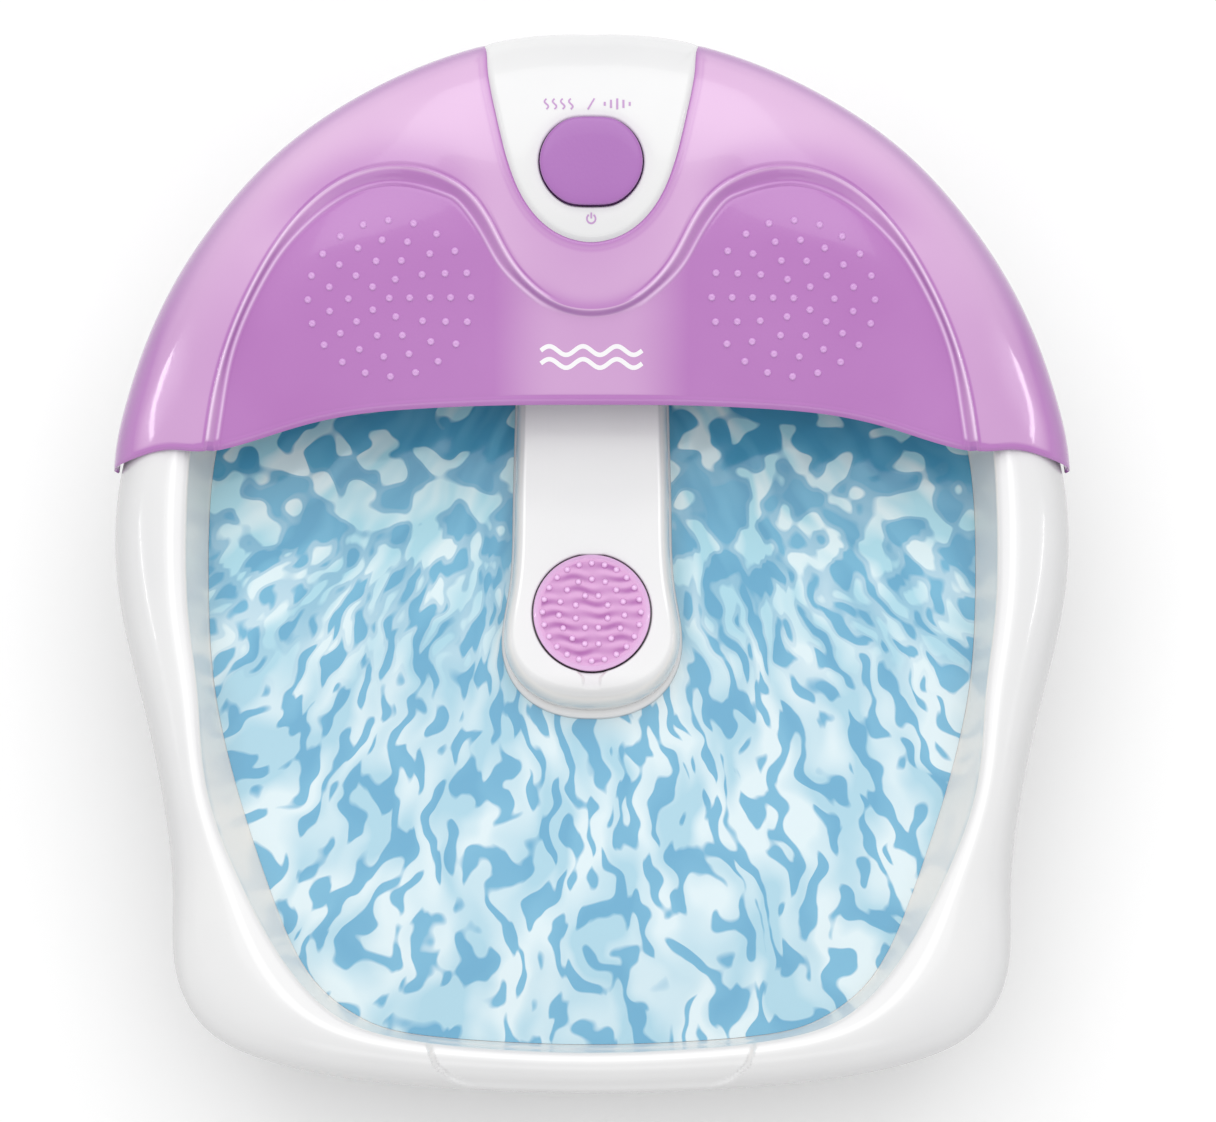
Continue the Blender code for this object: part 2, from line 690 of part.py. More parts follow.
def control_panel(frame):
    notch = notch_edge(12)
    width = notch[:, 0] - PANEL_GAP
    front = notch[0, 1] + PANEL_GAP
    share = (notch[:, 1] + PANEL_GAP - front) / (panel_back_y(0.0 * width)[0] - front)
    share = np.append(share, 1.0)
    width = np.append(width, width[-1])
    across = np.linspace(0.0, 1.0, 6)
    x = width[:, None] * across[None]
    y = front + (panel_back_y(x.ravel()).reshape(x.shape) - front) * share[:, None]
    height = dome_height(x.ravel(), y.ravel()).reshape(x.shape) + PANEL_LIFT
    rows = [np.column_stack((x[i], y[i], height[i])) for i in range(len(width))]
    last = rows[-1]
    for level in (0.60, 0.0):
        lower = last.copy()
        lower[:, 1] -= SKIRT_DRAFT * (1.0 - level)
        lower[:, 2] = GUARD_SEAM + (last[:, 2] - GUARD_SEAM) * level
        rows.append(lower)
    item = add_object("control_panel", lofted_mesh("control_panel", rows, closed=False), WHITE)
    mirror(item)
    solidify(item, PANEL_WALL)
    for index, y in enumerate(BRACKET_SCREWS):
        skin = panel_over_bracket(y)
        boss = cylinder(f"panel_boss_{index}", 0.0040, BRACKET_TOP + GAP, skin - 0.0013, None, 12)
        boss.parent = frame
        boss.location = (0.0, y, 0.0)
        boolean(item, make_cutter(boss), "UNION")
        hole = cylinder(f"panel_boss_hole_{index}", 0.0016, -0.040, skin - 0.0035, None, 8)
        hole.parent = frame
        hole.location = (0.0, y, 0.0)
        boolean(item, make_cutter(hole), "DIFFERENCE")
    opening = prism("button_opening", oval(0.0006), -0.006, 0.010, None)
    opening.parent = frame
    boolean(item, make_cutter(opening), "DIFFERENCE")
    smooth(item, 45.0)


def power_button(frame):
    levels = ((-0.0084, 0.0012), (-0.0068, 0.0012), (-0.0066, -0.0002), (0.0008, -0.0002),
              (0.0017, -0.0012), (0.0021, -0.0040))
    rings = [at_height(oval(grow), height) for height, grow in levels]
    item = add_object("power_button", lofted_mesh("power_button", rings, True, True), BUTTON_PURPLE)
    item.parent = frame
    smooth(item, 50.0)


def switch_parts(frame):
    plunger = turned("switch_plunger", ((0, -0.0087), (0.0024, -0.0087), (0.0024, -0.0220), (0, -0.0220)),
                     BLACK_PLASTIC, 12)
    plunger.parent = frame
    body_top = BRACKET_TOP - BRACKET_THICKNESS - 2.0 * GAP
    body = box("switch_body", (0.018, 0.016, 0.016), (0.0, 0.0, body_top - 0.008), BLACK_PLASTIC, 0.0006)
    body.parent = frame
    collar = cylinder("switch_collar", 0.0050, body_top - 0.001, -0.0128, None, 16)
    bore = cylinder("switch_bore", 0.0029, -0.0265, 0.0, None, 12)
    for tool, operation in ((collar, "UNION"), (bore, "DIFFERENCE")):
        tool.parent = frame
        boolean(body, make_cutter(tool), operation)
    nut = prism("switch_nut", circle(0.0085, 6), BRACKET_TOP + GAP, BRACKET_TOP + 0.0028, BRASS)
    plate = box("switch_bracket", (0.022, 0.056, BRACKET_THICKNESS),
                (0.0, 0.0005, BRACKET_TOP - BRACKET_THICKNESS / 2.0), STEEL, 0.0003)
    hole = cylinder("collar_hole", 0.0054, -0.030, 0.0, None, 16)
    for item in (nut, plate, hole):
        item.parent = frame
    make_cutter(hole)
    boolean(nut, hole, "DIFFERENCE")
    boolean(plate, hole, "DIFFERENCE")
    for index, y in enumerate(BRACKET_SCREWS):
        slot = cylinder(f"bracket_hole_{index}", 0.0020, -0.030, 0.0, None, 10)
        slot.parent = frame
        slot.location = (0.0, y, 0.0)
        boolean(plate, make_cutter(slot), "DIFFERENCE")
        fixing = screw(f"bracket_screw_{index + 1}", (0.0, y, BRACKET_TOP - BRACKET_THICKNESS - GAP),
                       0.0013, 0.0085, 0.0030, 0.0016)
        fixing.parent = frame
    for index, x in enumerate((-0.0045, 0.0045)):
        blade = box(f"switch_terminal_{index + 1}", (0.0008, 0.0048, 0.0080),
                    (x, 0.0, body_top - 0.016 - GAP - 0.004), BRASS)
        blade.parent = frame


def electronics_pod():
    low, high = PEDESTAL_TOP + GAP, 0.150
    outer = pedestal_outline(0.0030, 0.176)
    inner = pedestal_outline(0.0050, 0.174)
    item = prism("electronics_pod", outer, low, high, BLACK_PLASTIC)
    cavity = prism("pod_cavity", inner, low + 0.0022, high + 0.010, None)
    boolean(item, make_cutter(cavity), "DIFFERENCE")
    for index, place in enumerate(POD_SCREWS):
        hole = placed_cylinder(f"pod_hole_{index}", 0.0020, 0.110, 0.130, place, 10)
        boolean(item, hole, "DIFFERENCE")
        top = low + 0.0022 + GAP
        screw(f"pod_screw_{index + 1}", (place[0], place[1], top), 0.0014, 0.0085, 0.0032, 0.0017, False)
    lead_hole = box("pod_lead_hole", (0.018, 0.012, 0.020), (0.0, 0.140, low), None)
    boolean(item, make_cutter(lead_hole), "DIFFERENCE")


# ---------------------------------------------------------------- centre column and disc

def centre_column():
    bottom = PLINTH_TOP + 0.0014
    edge = 0.0042
    well_floor = COLUMN_TOP - WELL_DEPTH
    outline = column_outline(0.0, COLUMN_REAR)
    centre = np.array((0.0, DISC_Y))
    spokes = outline - centre
    spokes = spokes / np.linalg.norm(spokes, axis=1)[:, None]
    rings = [at_height(outline, bottom)]
    for degrees in (0, 45, 90):
        turn = math.radians(degrees)
        shrink = edge * (1.0 - math.cos(turn))
        plan = column_outline(-shrink, COLUMN_REAR)
        rings.append(at_height(plan, COLUMN_TOP - edge + edge * math.sin(turn)))
    rings.append(at_height(centre + spokes * WELL_RADIUS, COLUMN_TOP))
    rings.append(at_height(centre + spokes * (WELL_RADIUS - 0.0003), well_floor))
    mesh = lofted_mesh("centre_column", rings, False, True)
    item = add_object("centre_column", mesh, WHITE)
    solidify(item, COLUMN_WALL)
    for index, place in enumerate(COLUMN_SCREWS):
        boss = placed_cylinder(f"column_boss_{index}", 0.0042, PLINTH_TOP + 0.0006, 0.1060, place)
        boolean(item, boss, "UNION")
        hole = placed_cylinder(f"column_boss_hole_{index}", 0.0016, 0.080, 0.1035, place, 8)
        boolean(item, hole, "DIFFERENCE")
    smooth(item, 40.0)


def column_seal():
    low = PLINTH_TOP + GAP
    item = prism("column_seal", column_outline(-0.0002, COLUMN_REAR), low, low + 0.0008, GREY_RUBBER)
    opening = column_outline(-0.0024, COLUMN_REAR - 0.003)
    window = prism("seal_window", opening, low - 0.001, low + 0.002, None)
    boolean(item, make_cutter(window), "DIFFERENCE")


def column_screws():
    for index, (x, y) in enumerate(COLUMN_SCREWS):
        place = (x, y, PLINTH_TOP - SHELL_WALL - GAP)
        screw(f"column_screw_{index + 1}", place, 0.0013, 0.0120, 0.0032, 0.0017)


def massage_disc():
    low = COLUMN_TOP - WELL_DEPTH + GAP
    crown = COLUMN_TOP + 0.0040
    profile = ((0, crown), (0.0100, crown - 0.0002), (0.0165, crown - 0.0010), (0.0205, crown - 0.0026),
               (DISC_RADIUS, crown - 0.0050), (DISC_RADIUS, low), (0.0200, low), (0.0200, low + 0.0030),
               (0, low + 0.0050))
    item = turned("massage_disc", profile, PINK, 24)
    item.location = (0.0, DISC_Y, 0.0)


# ---------------------------------------------------------------- vibration motor

def along_y(item, y):
    """Stand a body turned about Z along +Y, on the motor's axis."""
    item.location = (0.0, y, MOTOR_Z)
    item.rotation_euler = (math.radians(-90), 0.0, 0.0)
    return item


def vibration_motor():
    wall = 0.0012
    inner = MOTOR_RADIUS - wall
    can = ((0.0024, MOTOR_LENGTH), (MOTOR_RADIUS, MOTOR_LENGTH), (MOTOR_RADIUS, 0.0), (inner, 0.0),
           (inner, MOTOR_LENGTH - wall), (0.0024, MOTOR_LENGTH - wall), (0.0024, MOTOR_LENGTH))
    along_y(turned("motor_can", can, STEEL, 20), MOTOR_FRONT)
    cap = ((0.0024, 0.0026), (inner - GAP, 0.0026), (inner - GAP, 0.0), (0.0024, 0.0), (0.0024, 0.0026))
    along_y(turned("motor_end_cap", cap, BLACK_PLASTIC, 20), MOTOR_FRONT)
    for index, side in enumerate((0.0, 180.0)):
        magnet(f"motor_magnet_{index + 1}", inner - 2.0 * GAP, 0.0106, side)
    cylinder_y("motor_armature", 0.0098, MOTOR_FRONT + 0.006, MOTOR_FRONT + 0.028, COPPER,
               SHAFT_RADIUS + GAP)
    shaft = cylinder("motor_shaft", SHAFT_RADIUS, -0.0165, MOTOR_LENGTH + 0.0025, STEEL, 12)
    along_y(shaft, MOTOR_FRONT)


def cylinder_y(name, radius, start, end, look, bore):
    length = end - start
    profile = ((bore, length), (radius, length), (radius, 0.0), (bore, 0.0), (bore, length))
    return along_y(turned(name, profile, look, 16), start)


def magnet(name, outer, inner, start_degrees):
    """Half-round magnet lining one side of the can."""
    span = np.radians(np.linspace(start_degrees - 66.0, start_degrees + 66.0, 11))
    arc = np.column_stack((np.cos(span), np.sin(span)))
    outline = np.vstack((arc * outer, arc[::-1] * inner))
    item = prism(name, outline, 0.006, 0.028, FERRITE)
    along_y(item, MOTOR_FRONT)


def eccentric_weight():
    """Half-round weight on the motor's shaft, hanging below it at rest."""
    bore = SHAFT_RADIUS + GAP
    ring = circle(0.0045, 24)
    ring[ring[:, 1] > 0.0005] *= 2.45
    item = prism("eccentric_weight", ring, -0.0140, -0.0060, BRASS)
    hole = cylinder("weight_bore", bore, -0.030, 0.010, None, 12)
    along_y(hole, MOTOR_FRONT)
    along_y(item, MOTOR_FRONT)
    boolean(item, make_cutter(hole), "DIFFERENCE")


def motor_bracket():
    """Bent strap under the motor, with an ear on each side that hangs from the plinth."""
    radius = MOTOR_RADIUS + 0.0004
    thick = 0.0014
    ear = 0.0300
    ear_z = 0.0781
    turn = np.radians(np.linspace(180.0, 360.0, 13))
    arc = np.column_stack((np.cos(turn), np.sin(turn)))
    inside = np.vstack(((-radius, ear_z - MOTOR_Z), arc * radius, (radius, ear_z - MOTOR_Z)))
    outside = np.vstack(((-radius - thick, ear_z - MOTOR_Z - thick), arc * (radius + thick),
                         (radius + thick, ear_z - MOTOR_Z - thick)))
    left = ((-ear, ear_z - MOTOR_Z - thick), (-ear, ear_z - MOTOR_Z))
    right = ((ear, ear_z - MOTOR_Z), (ear, ear_z - MOTOR_Z - thick))
    outline = np.vstack((left[::-1], outside, right[::-1], inside[::-1]))
    item = prism("motor_bracket", outline, -0.007, 0.007, STEEL)
    item.location = (0.0, MOTOR_SCREWS[0][1], MOTOR_Z)
    item.rotation_euler = (math.radians(90), 0.0, 0.0)
    for index, place in enumerate(MOTOR_SCREWS):
        hole = placed_cylinder(f"ear_hole_{index}", 0.0019, 0.060, 0.085, place, 10)
        boolean(item, hole, "DIFFERENCE")
        side = ("left", "right")[index]
        low, high = ear_z + GAP, MOTOR_BOSS_LOW - GAP
        grommet = turned(f"motor_grommet_{side}", ((0.0019, high), (0.0050, high), (0.0050, low),
                                                  (0.0019, low), (0.0019, high)), BLACK_RUBBER, 12)
        grommet.location = (place[0], place[1], 0.0)
        seat = (place[0], place[1], ear_z - thick - GAP)
        screw(f"motor_screw_{side}", seat, 0.0013, 0.0110, 0.0032, 0.0017)


# ---------------------------------------------------------------- heater and electrics

def heater():
    centre = (0.0, -0.100)
    plate_top = FLOOR_TOP - SHELL_WALL - GAP
    layers = (("heater_plate", (0.124, 0.056), 0.0015, ALUMINIUM),
              ("heater_element", (0.112, 0.046), 0.0016, SILICONE),
              ("heater_insulation", (0.118, 0.052), 0.0030, BASE_WHITE))
    top = plate_top
    for name, (width, depth), thick, look in layers:
        box(name, (width, depth, thick), (*centre, top - thick / 2.0), look)
        top -= thick + GAP
    strap = box("heater_strap", (0.148, 0.014, 0.0012), (*centre, top - 0.0006), STEEL)
    for index, place in enumerate(STRAP_SCREWS):
        hole = placed_cylinder(f"strap_hole_{index}", 0.0020, 0.010, 0.025, place, 10)
        boolean(strap, hole, "DIFFERENCE")
        seat = (place[0], place[1], top - 0.0012 - GAP)
        screw(f"strap_screw_{index + 1}", seat, 0.0013, 0.0075, 0.0030, 0.0016)
    thermostat = turned("thermostat", ((0, 0.0272), (0.0080, 0.0272), (0.0080, 0.0225), (0.0060, 0.0215),
                                      (0.0060, 0.0170), (0, 0.0170)), BLACK_PLASTIC, 16)
    thermostat.location = (0.040, -0.056, 0.0)


def circuit_board():
    x, y = BOARD_CENTRE
    top = BOARD_Z + BOARD_THICKNESS
    centre = (x, y, BOARD_Z + BOARD_THICKNESS / 2.0)
    box("circuit_board", (*BOARD_SIZE, BOARD_THICKNESS), centre, BOARD_GREEN)
    box("rectifier", (0.015, 0.005, 0.010), (x - 0.012, y + 0.008, top + GAP + 0.005), BLACK_PLASTIC, 0.0005)
    capacitor = turned("capacitor", ((0, 0.0110), (0.0036, 0.0110), (0.0040, 0.0104), (0.0040, 0), (0, 0)),
                       BLACK_PLASTIC, 14)
    capacitor.location = (x + 0.012, y + 0.006, top + GAP)


def cord_gland():
    """Rubber gland in the back wall, with the passage for the cord."""
    hole = 0.0034
    waist = GLAND_HOLE - GAP
    profile = ((hole, 0.0100), (0.0085, 0.0100), (0.0095, 0.0080), (0.0095, 0.0065), (waist, 0.0065),
               (waist, -0.0010), (0.0085, -0.0010), (0.0085, -0.0030), (hole, -0.0030), (hole, 0.0100))
    item = turned("cord_gland", profile, GREY_RUBBER, 16)
    item.location = (0.0, GLAND_Y, GLAND_Z)
    item.rotation_euler = (math.radians(-90), 0.0, 0.0)


def leads():
    routes = {
        "lead_switch_feed": ((-4.5, 157, 137), (-4.5, 150, 131), (-4.5, 141, 125), (-5, 138, 110),
                             (-8, 130, 80), (-14, 110, 50), (-18, 90, 22), (0, 60, 14), (40, 15, 12),
                             (60, -12, 16), (68, -20, 17)),
        "lead_switch_return": ((4.5, 157, 137), (4.5, 150, 131), (4.5, 142, 125), (5, 140, 110),
                               (10, 132, 80), (16, 114, 50), (20, 95, 24), (22, 60, 18), (46, 22, 13),
                               (70, -8, 18), (76, -16, 18)),
        "lead_motor_feed": ((-6, 16, 60), (-8, 22, 58), (-10, 26, 45), (-6, 24, 24), (14, 8, 16),
                            (40, -18, 13), (60, -34, 16), (70, -36, 17)),
        "lead_motor_return": ((6, 16, 60), (9, 22, 58), (13, 24, 45), (16, 16, 26), (28, -6, 20),
                              (46, -30, 17), (62, -40, 18), (70, -42, 17)),
        "lead_heater": ((40, -46.5, 19), (42, -44.5, 16), (50, -46, 13), (61.5, -45, 12.8)),
    }
    for name, route in routes.items():
        tube(name, route, LEAD_RADIUS, SILICONE if name == "lead_heater" else BLACK_PLASTIC)


def build():
    basin_shell()
    base_cover()
    for name, x, y in FEET:
        rubber_foot(name, x, y)
    base_screws()
    splash_guard()
    frame = switch_frame()
    control_panel(frame)
    power_button(frame)
    switch_parts(frame)
    electronics_pod()
    centre_column()
    column_seal()
    column_screws()
    massage_disc()
    vibration_motor()
    eccentric_weight()
    motor_bracket()
    heater()
    circuit_board()
    cord_gland()
    leads()


build()
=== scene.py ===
"""Foot spa basin: the finished look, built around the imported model.

Metres, +Z up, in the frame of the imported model: the pouring lip faces -Y and the control panel is
at +Y.  Outlines are half outlines in millimetres, from the middle outwards or round the +X side.
"""
import json
import math

import bpy
import numpy as np
from mathutils import Matrix, Vector


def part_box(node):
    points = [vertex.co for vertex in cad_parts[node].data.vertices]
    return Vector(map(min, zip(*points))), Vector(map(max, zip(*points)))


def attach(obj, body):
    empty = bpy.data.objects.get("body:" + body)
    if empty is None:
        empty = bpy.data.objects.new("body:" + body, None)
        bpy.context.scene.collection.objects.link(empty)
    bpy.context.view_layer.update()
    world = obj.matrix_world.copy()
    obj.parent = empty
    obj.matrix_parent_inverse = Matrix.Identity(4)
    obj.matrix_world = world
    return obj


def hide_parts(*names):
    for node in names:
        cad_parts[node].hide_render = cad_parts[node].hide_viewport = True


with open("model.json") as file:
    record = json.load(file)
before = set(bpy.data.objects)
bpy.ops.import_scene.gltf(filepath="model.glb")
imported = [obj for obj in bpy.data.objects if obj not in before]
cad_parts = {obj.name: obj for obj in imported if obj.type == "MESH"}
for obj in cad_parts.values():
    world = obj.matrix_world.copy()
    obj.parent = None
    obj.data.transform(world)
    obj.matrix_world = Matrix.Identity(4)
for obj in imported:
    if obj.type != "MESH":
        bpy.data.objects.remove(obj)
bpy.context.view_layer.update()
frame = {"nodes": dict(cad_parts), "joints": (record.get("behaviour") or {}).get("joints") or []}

MM = 0.001

# Camera and studio.
CAMERA_AIM = (0.0062, 0.0085, 0.095)
CAMERA_ELEVATION = 82.0
CAMERA_DISTANCE = 1.5
CAMERA_LENS = 114.84
SKY_STRENGTH = 0.64

# Levels.
SKIRT_BOTTOM = 0.0035
FLOOR_TOP = 0.0300
WATER_LEVEL = 0.0900
WIDEST_LEVEL = 0.0920
GUARD_SEAM = 0.0955
PLINTH_TOP = 0.0920
COLUMN_BOTTOM = 0.0934
COLUMN_TOP = 0.1080
PEDESTAL_TOP = 0.1195

# Walls.
SHELL_WALL = 0.0025
GUARD_WALL = 0.0016
PANEL_WALL = 0.0022
COLUMN_WALL = 0.0024

# Rim of the tub.
CREST_AT_MIDDLE = 0.122
CREST_RISE = 0.04
CREST_UNDER_GUARD = 0.114
CREST_DROP = (0.050, 0.060)
CREST_SHARE = 0.19
CREST_FULLNESS = 1.85
MOUTH_BELOW_CREST = 0.003
BOTTOM_TAPER = 0.075
FLOOR_FILLET = 0.010
LIP_DEPTH = 0.0040
LIP_BACK = -0.150

# Splash guard.
DOME_CENTRE_Y = 0.040
DOME_FRONT_HEIGHT = 0.1466
DOME_SLOPE = 0.47
DOME_FULLNESS = 3.2
EDGE_HEIGHT_FRONT = 0.097
EDGE_HEIGHT_BACK = 0.165
FOOT_REST_DEPTH = 0.0030
SKIRT_DRAFT = 0.0004
BEAD_WIDTH = 0.00050
GROOVE_AT = 0.0011
GROOVE_WIDTH = 0.00036
VALLEY_DEPTH = 0.0012
ROLL_POWER = 2.4

# Control panel and button.
PANEL_LIFT = 0.0015
PANEL_GAP = 0.0006
PANEL_ROLL = 0.0024
PANEL_DISH = 0.00045
PANEL_COLLAR = 0.0045
PANEL_STATIONS = 240
BUTTON_Y = 0.145
BUTTON_HALF = (0.0191, 0.0162)
BUTTON_GAP = 0.0004
OVAL_POWER = 26

# Printed marks, above and below the surface that carries them.
PRINT_LIFT = 0.00012
PRINT_SINK = 0.0004

# Column and disc.
COLUMN_REAR = 0.1025
COLUMN_ROUND = 0.0118
DISC_Y = -0.0133
DISC_RADIUS = 0.0224
WELL_RADIUS = 0.0232
WELL_DEPTH = 0.0050
PLINTH_GROWTH = 0.0010
PLINTH_FRONT = 0.0022
PLINTH_REAR = 0.120
PLINTH_FILLET = 0.0012

# Water's painted caustic light: the point its streaks fan out from, and where streaks and paler colours
# begin and end.
FAN_CENTRE_Y = 0.150
STREAKS_FROM = (0.030, -0.022)
PALER_FROM = (0.055, -0.045)

# Reach within which doubled points are joined.
WELD_REACH = 0.000005
MIRROR_REACH = 0.00001

# Half outlines: the tub's rings, the pouring lip, the guard, the column and the rear pedestal.
OUTER_MM = ((0, -195.3), (42, -194.2), (88, -190.4), (124, -183), (147, -171), (157.5, -154),
            (160.3, -120), (164.5, -84), (172, -50), (181.2, -14), (184.6, 25), (176.4, 68.2),
            (157, 110.8), (120.3, 152.4), (75.3, 179.7), (0, 194.3))
MOUTH_MM = ((0, -180.2), (38, -178.8), (75.4, -174.3), (96, -166.5), (108, -156), (117, -144.5),
            (131.1, -119.1), (145, -83), (149.1, -47), (153.2, -14), (154.1, 24), (150.5, 62),
            (136, 96), (106, 131), (66, 154), (0, 165))
WATER_MM = ((0, -177.2), (37, -176), (72, -172.5), (90, -166), (103, -156.3), (111.7, -145),
            (123.5, -118.6), (136, -82), (144.8, -47), (148.4, -14), (149, 24), (145, 60),
            (131, 93), (102, 127), (63.5, 149.5), (0, 160))
FLOOR_MM = ((0, -166), (35, -165), (66, -161), (82, -154), (94, -144), (102, -132),
            (113, -110), (124.5, -78), (133, -46), (137, -14), (138, 22), (134, 56),
            (120, 86), (93, 117), (58, 138), (0, 148))
LIP_MM = ((40, -195.5), (46.5, -193), (52.6, -190), (58.6, -185), (61.5, -177), (62, -160))
GUARD_MM = ((185, 43.4), (184.3, 50.5), (179.8, 69.1), (171.7, 90.9), (160.1, 112.6),
            (144, 134.1), (122.9, 155.2), (91, 175.8), (59, 189), (39.4, 194.2), (0, 197))
GUARD_FRONT_MM = ((0, 61.2), (34, 61), (64, 59.9), (87, 58.1), (110, 53.8), (132, 47.7),
                  (142.5, 45.7), (150, 45.4), (160, 46.8), (171, 45.9), (181, 44), (185, 43.4))
NOTCH_MM = ((0, 117.7), (3, 117.9), (8, 119), (12.6, 120.9), (19.3, 125.8), (25.5, 134),
            (30.3, 145.6), (34.7, 163), (37.8, 180), (38.7, 190.5), (39.4, 194.2))
RIDGE_OUTER_MM = ((0, 93.8), (11.6, 95.7), (19.9, 100.3), (31.6, 113.2), (37.8, 124.3),
                  (44.6, 133.5), (52.9, 139.6), (71, 144.8), (89.2, 142.3), (106.2, 131.6),
                  (123.3, 110), (135.8, 85.6), (142.7, 63.1), (145.9, 45.6))
RIDGE_INNER_MM = ((0, 91.5), (15.8, 95.1), (24.1, 100.3), (35.1, 111.3), (41.3, 121.7),
                  (48.8, 131.6), (54.3, 135), (72.4, 139.5), (92, 135.6), (109, 123.5),
                  (122.6, 106.6), (134.4, 82.9), (139.5, 61.6), (142.4, 45.7))
COLUMN_MM = ((0, -49.1), (14, -47.3), (26.5, -40), (33.4, -27), (31.6, -5), (29.8, 30),
             (29, 66), (28.6, 103))
PEDESTAL_MM = ((0, 104), (20, 107), (30, 120), (34, 150), (35, 178))


# ---------------------------------------------------------------- curves

def metres(points):
    return np.array(points, dtype=float) * MM


def mirrored_path(half):
    right = metres(half)
    return np.vstack((right[:0:-1] * (-1.0, 1.0), right))


def chord_knots(points):
    steps = np.linalg.norm(np.diff(points, axis=0), axis=1)
    return np.concatenate(([0.0], np.cumsum(steps)))


def spline(points, knots, places):
    """Points at the given places of the natural cubic curve through the given ones."""
    points = np.asarray(points, dtype=float)
    gaps = np.diff(knots)
    slopes = (np.diff(points, axis=0).T / gaps).T
    count = len(points)
    system = np.eye(count)
    bends = np.zeros_like(points)
    for i in range(1, count - 1):
        system[i, i - 1:i + 2] = gaps[i - 1], 2.0 * (gaps[i - 1] + gaps[i]), gaps[i]
        bends[i] = 6.0 * (slopes[i] - slopes[i - 1])
    bends = np.linalg.solve(system, bends)
    span = np.clip(np.searchsorted(knots, places, side="right") - 1, 0, count - 2)
    gap = gaps[span]
    after = np.asarray(places) - knots[span]
    before = gap - after
    shape = (-1,) + (1,) * (points.ndim - 1)
    gap, after, before = gap.reshape(shape), after.reshape(shape), before.reshape(shape)
    curved = (bends[span] * before ** 3 + bends[span + 1] * after ** 3) / (6.0 * gap)
    start = (points[span] / gap - bends[span] * gap / 6.0) * before
    end = (points[span + 1] / gap - bends[span + 1] * gap / 6.0) * after
    return curved + start + end


def curve_along(path, shares):
    """Curve through a path, at shares of its length."""
    knots = chord_knots(path)
    return spline(path, knots, knots[-1] * shares)


def half_curve(half, places, guide=None):
    """Curve through a half outline from X = 0, at shares of its own or a guide outline's length."""
    knots = chord_knots(mirrored_path(guide or half))
    middle = knots[-1] / 2.0
    return spline(mirrored_path(half), knots, middle + middle * np.asarray(places))


def smoothstep(low, high, value):
    share = np.clip((value - low) / (high - low), 0.0, 1.0)
    return share * share * (3.0 - 2.0 * share)


def bell(value, width):
    return np.exp(-(value / width) ** 2)


def outward(path, closed):
    """Unit normals, to the right of the way the path runs."""
    if closed:
        along = np.roll(path, -1, axis=0) - np.roll(path, 1, axis=0)
    else:
        along = np.gradient(path, axis=0)
    normal = np.column_stack((along[:, 1], -along[:, 0]))
    return normal / np.linalg.norm(normal, axis=1)[:, None]


def distance_to(points, line):
    """Distance of each plan point to a finely sampled line."""
    found = np.empty(len(points))
    for start in range(0, len(points), 4000):
        part = points[start:start + 4000]
        found[start:start + 4000] = np.sqrt(((part[:, None] - line[None]) ** 2).sum(axis=2).min(axis=1))
    return found


def spokes_at(turns):
    """Unit plan vectors at the given angles."""
    return np.column_stack((np.cos(turns), np.sin(turns)))


def closed_line(ring, count):
    """Evenly spaced points along a closed ring."""
    closed = np.vstack((ring, ring[:1]))
    knots = chord_knots(closed)
    places = np.linspace(0.0, knots[-1], count)
    return np.column_stack([np.interp(places, knots, closed[:, i]) for i in (0, 1)])


def at_height(plan, height):
    return np.column_stack((plan, np.broadcast_to(height, len(plan))))


# ---------------------------------------------------------------- meshes

def mesh_of(name, points, faces):
    mesh = bpy.data.meshes.new(name)
    mesh.from_pydata(np.asarray(points, dtype=float).tolist(), [], faces)
    mesh.update()
    return mesh


def loft_faces(rows, count, closed):
    faces = []
    for row in range(rows - 1):
        low = row * count
        high = low + count
        for i in range(count if closed else count - 1):
            j = (i + 1) % count
            faces.append((low + i, low + j, high + j, high + i))
    return faces


def capped_faces(rows, count, cap_start=True):
    """Faces over closed rings of equal length, with a cap on the last and, if wanted, the first."""
    faces = loft_faces(rows, count, True)
    if cap_start:
        faces.append(tuple(reversed(range(count))))
    last = (rows - 1) * count
    faces.append(tuple(range(last, last + count)))
    return faces


def lofted_mesh(name, rings, cap_start=True):
    return mesh_of(name, np.vstack(rings), capped_faces(len(rings), len(rings[0]), cap_start))


def linked(name, data):
    item = bpy.data.objects.new(name, data)
    bpy.context.scene.collection.objects.link(item)
    return item


def add_object(name, mesh, look):
    item = linked(name, mesh)
    if look is not None:
        mesh.materials.append(look.material)
    return item


def lofted(name, rings, look=None):
    return add_object(name, lofted_mesh(name, rings), look)


def smooth(item, degrees):
    item.data.shade_smooth()
    item.data.set_sharp_from_angle(angle=math.radians(degrees))


def solidify(item, thickness):
    wall = item.modifiers.new("wall", "SOLIDIFY")
    wall.thickness = thickness
    wall.offset = -1.0
    wall.use_even_offset = True
    wall.use_quality_normals = True


def applied(item, cutters=()):
    """Bake the modifiers into the mesh, and remove the bodies that they cut with."""
    depsgraph = bpy.context.evaluated_depsgraph_get()
    mesh = bpy.data.meshes.new_from_object(item.evaluated_get(depsgraph))
    item.modifiers.clear()
    item.data = mesh
    for cutter in cutters:
        bpy.data.objects.remove(cutter)


def boolean(item, other, operation):
    step = item.modifiers.new(operation.lower(), "BOOLEAN")
    step.operation = operation
    step.object = other
    step.solver = "EXACT"


def point_values(mesh, name, values):
    layer = mesh.attributes.new(name, "FLOAT", "POINT")
    layer.data.foreach_set("value", np.asarray(values, dtype=np.float32))


def mesh_vectors(rows, name):
    found = np.empty(len(rows) * 3)
    rows.foreach_get(name, found)
    return found.reshape(-1, 3)


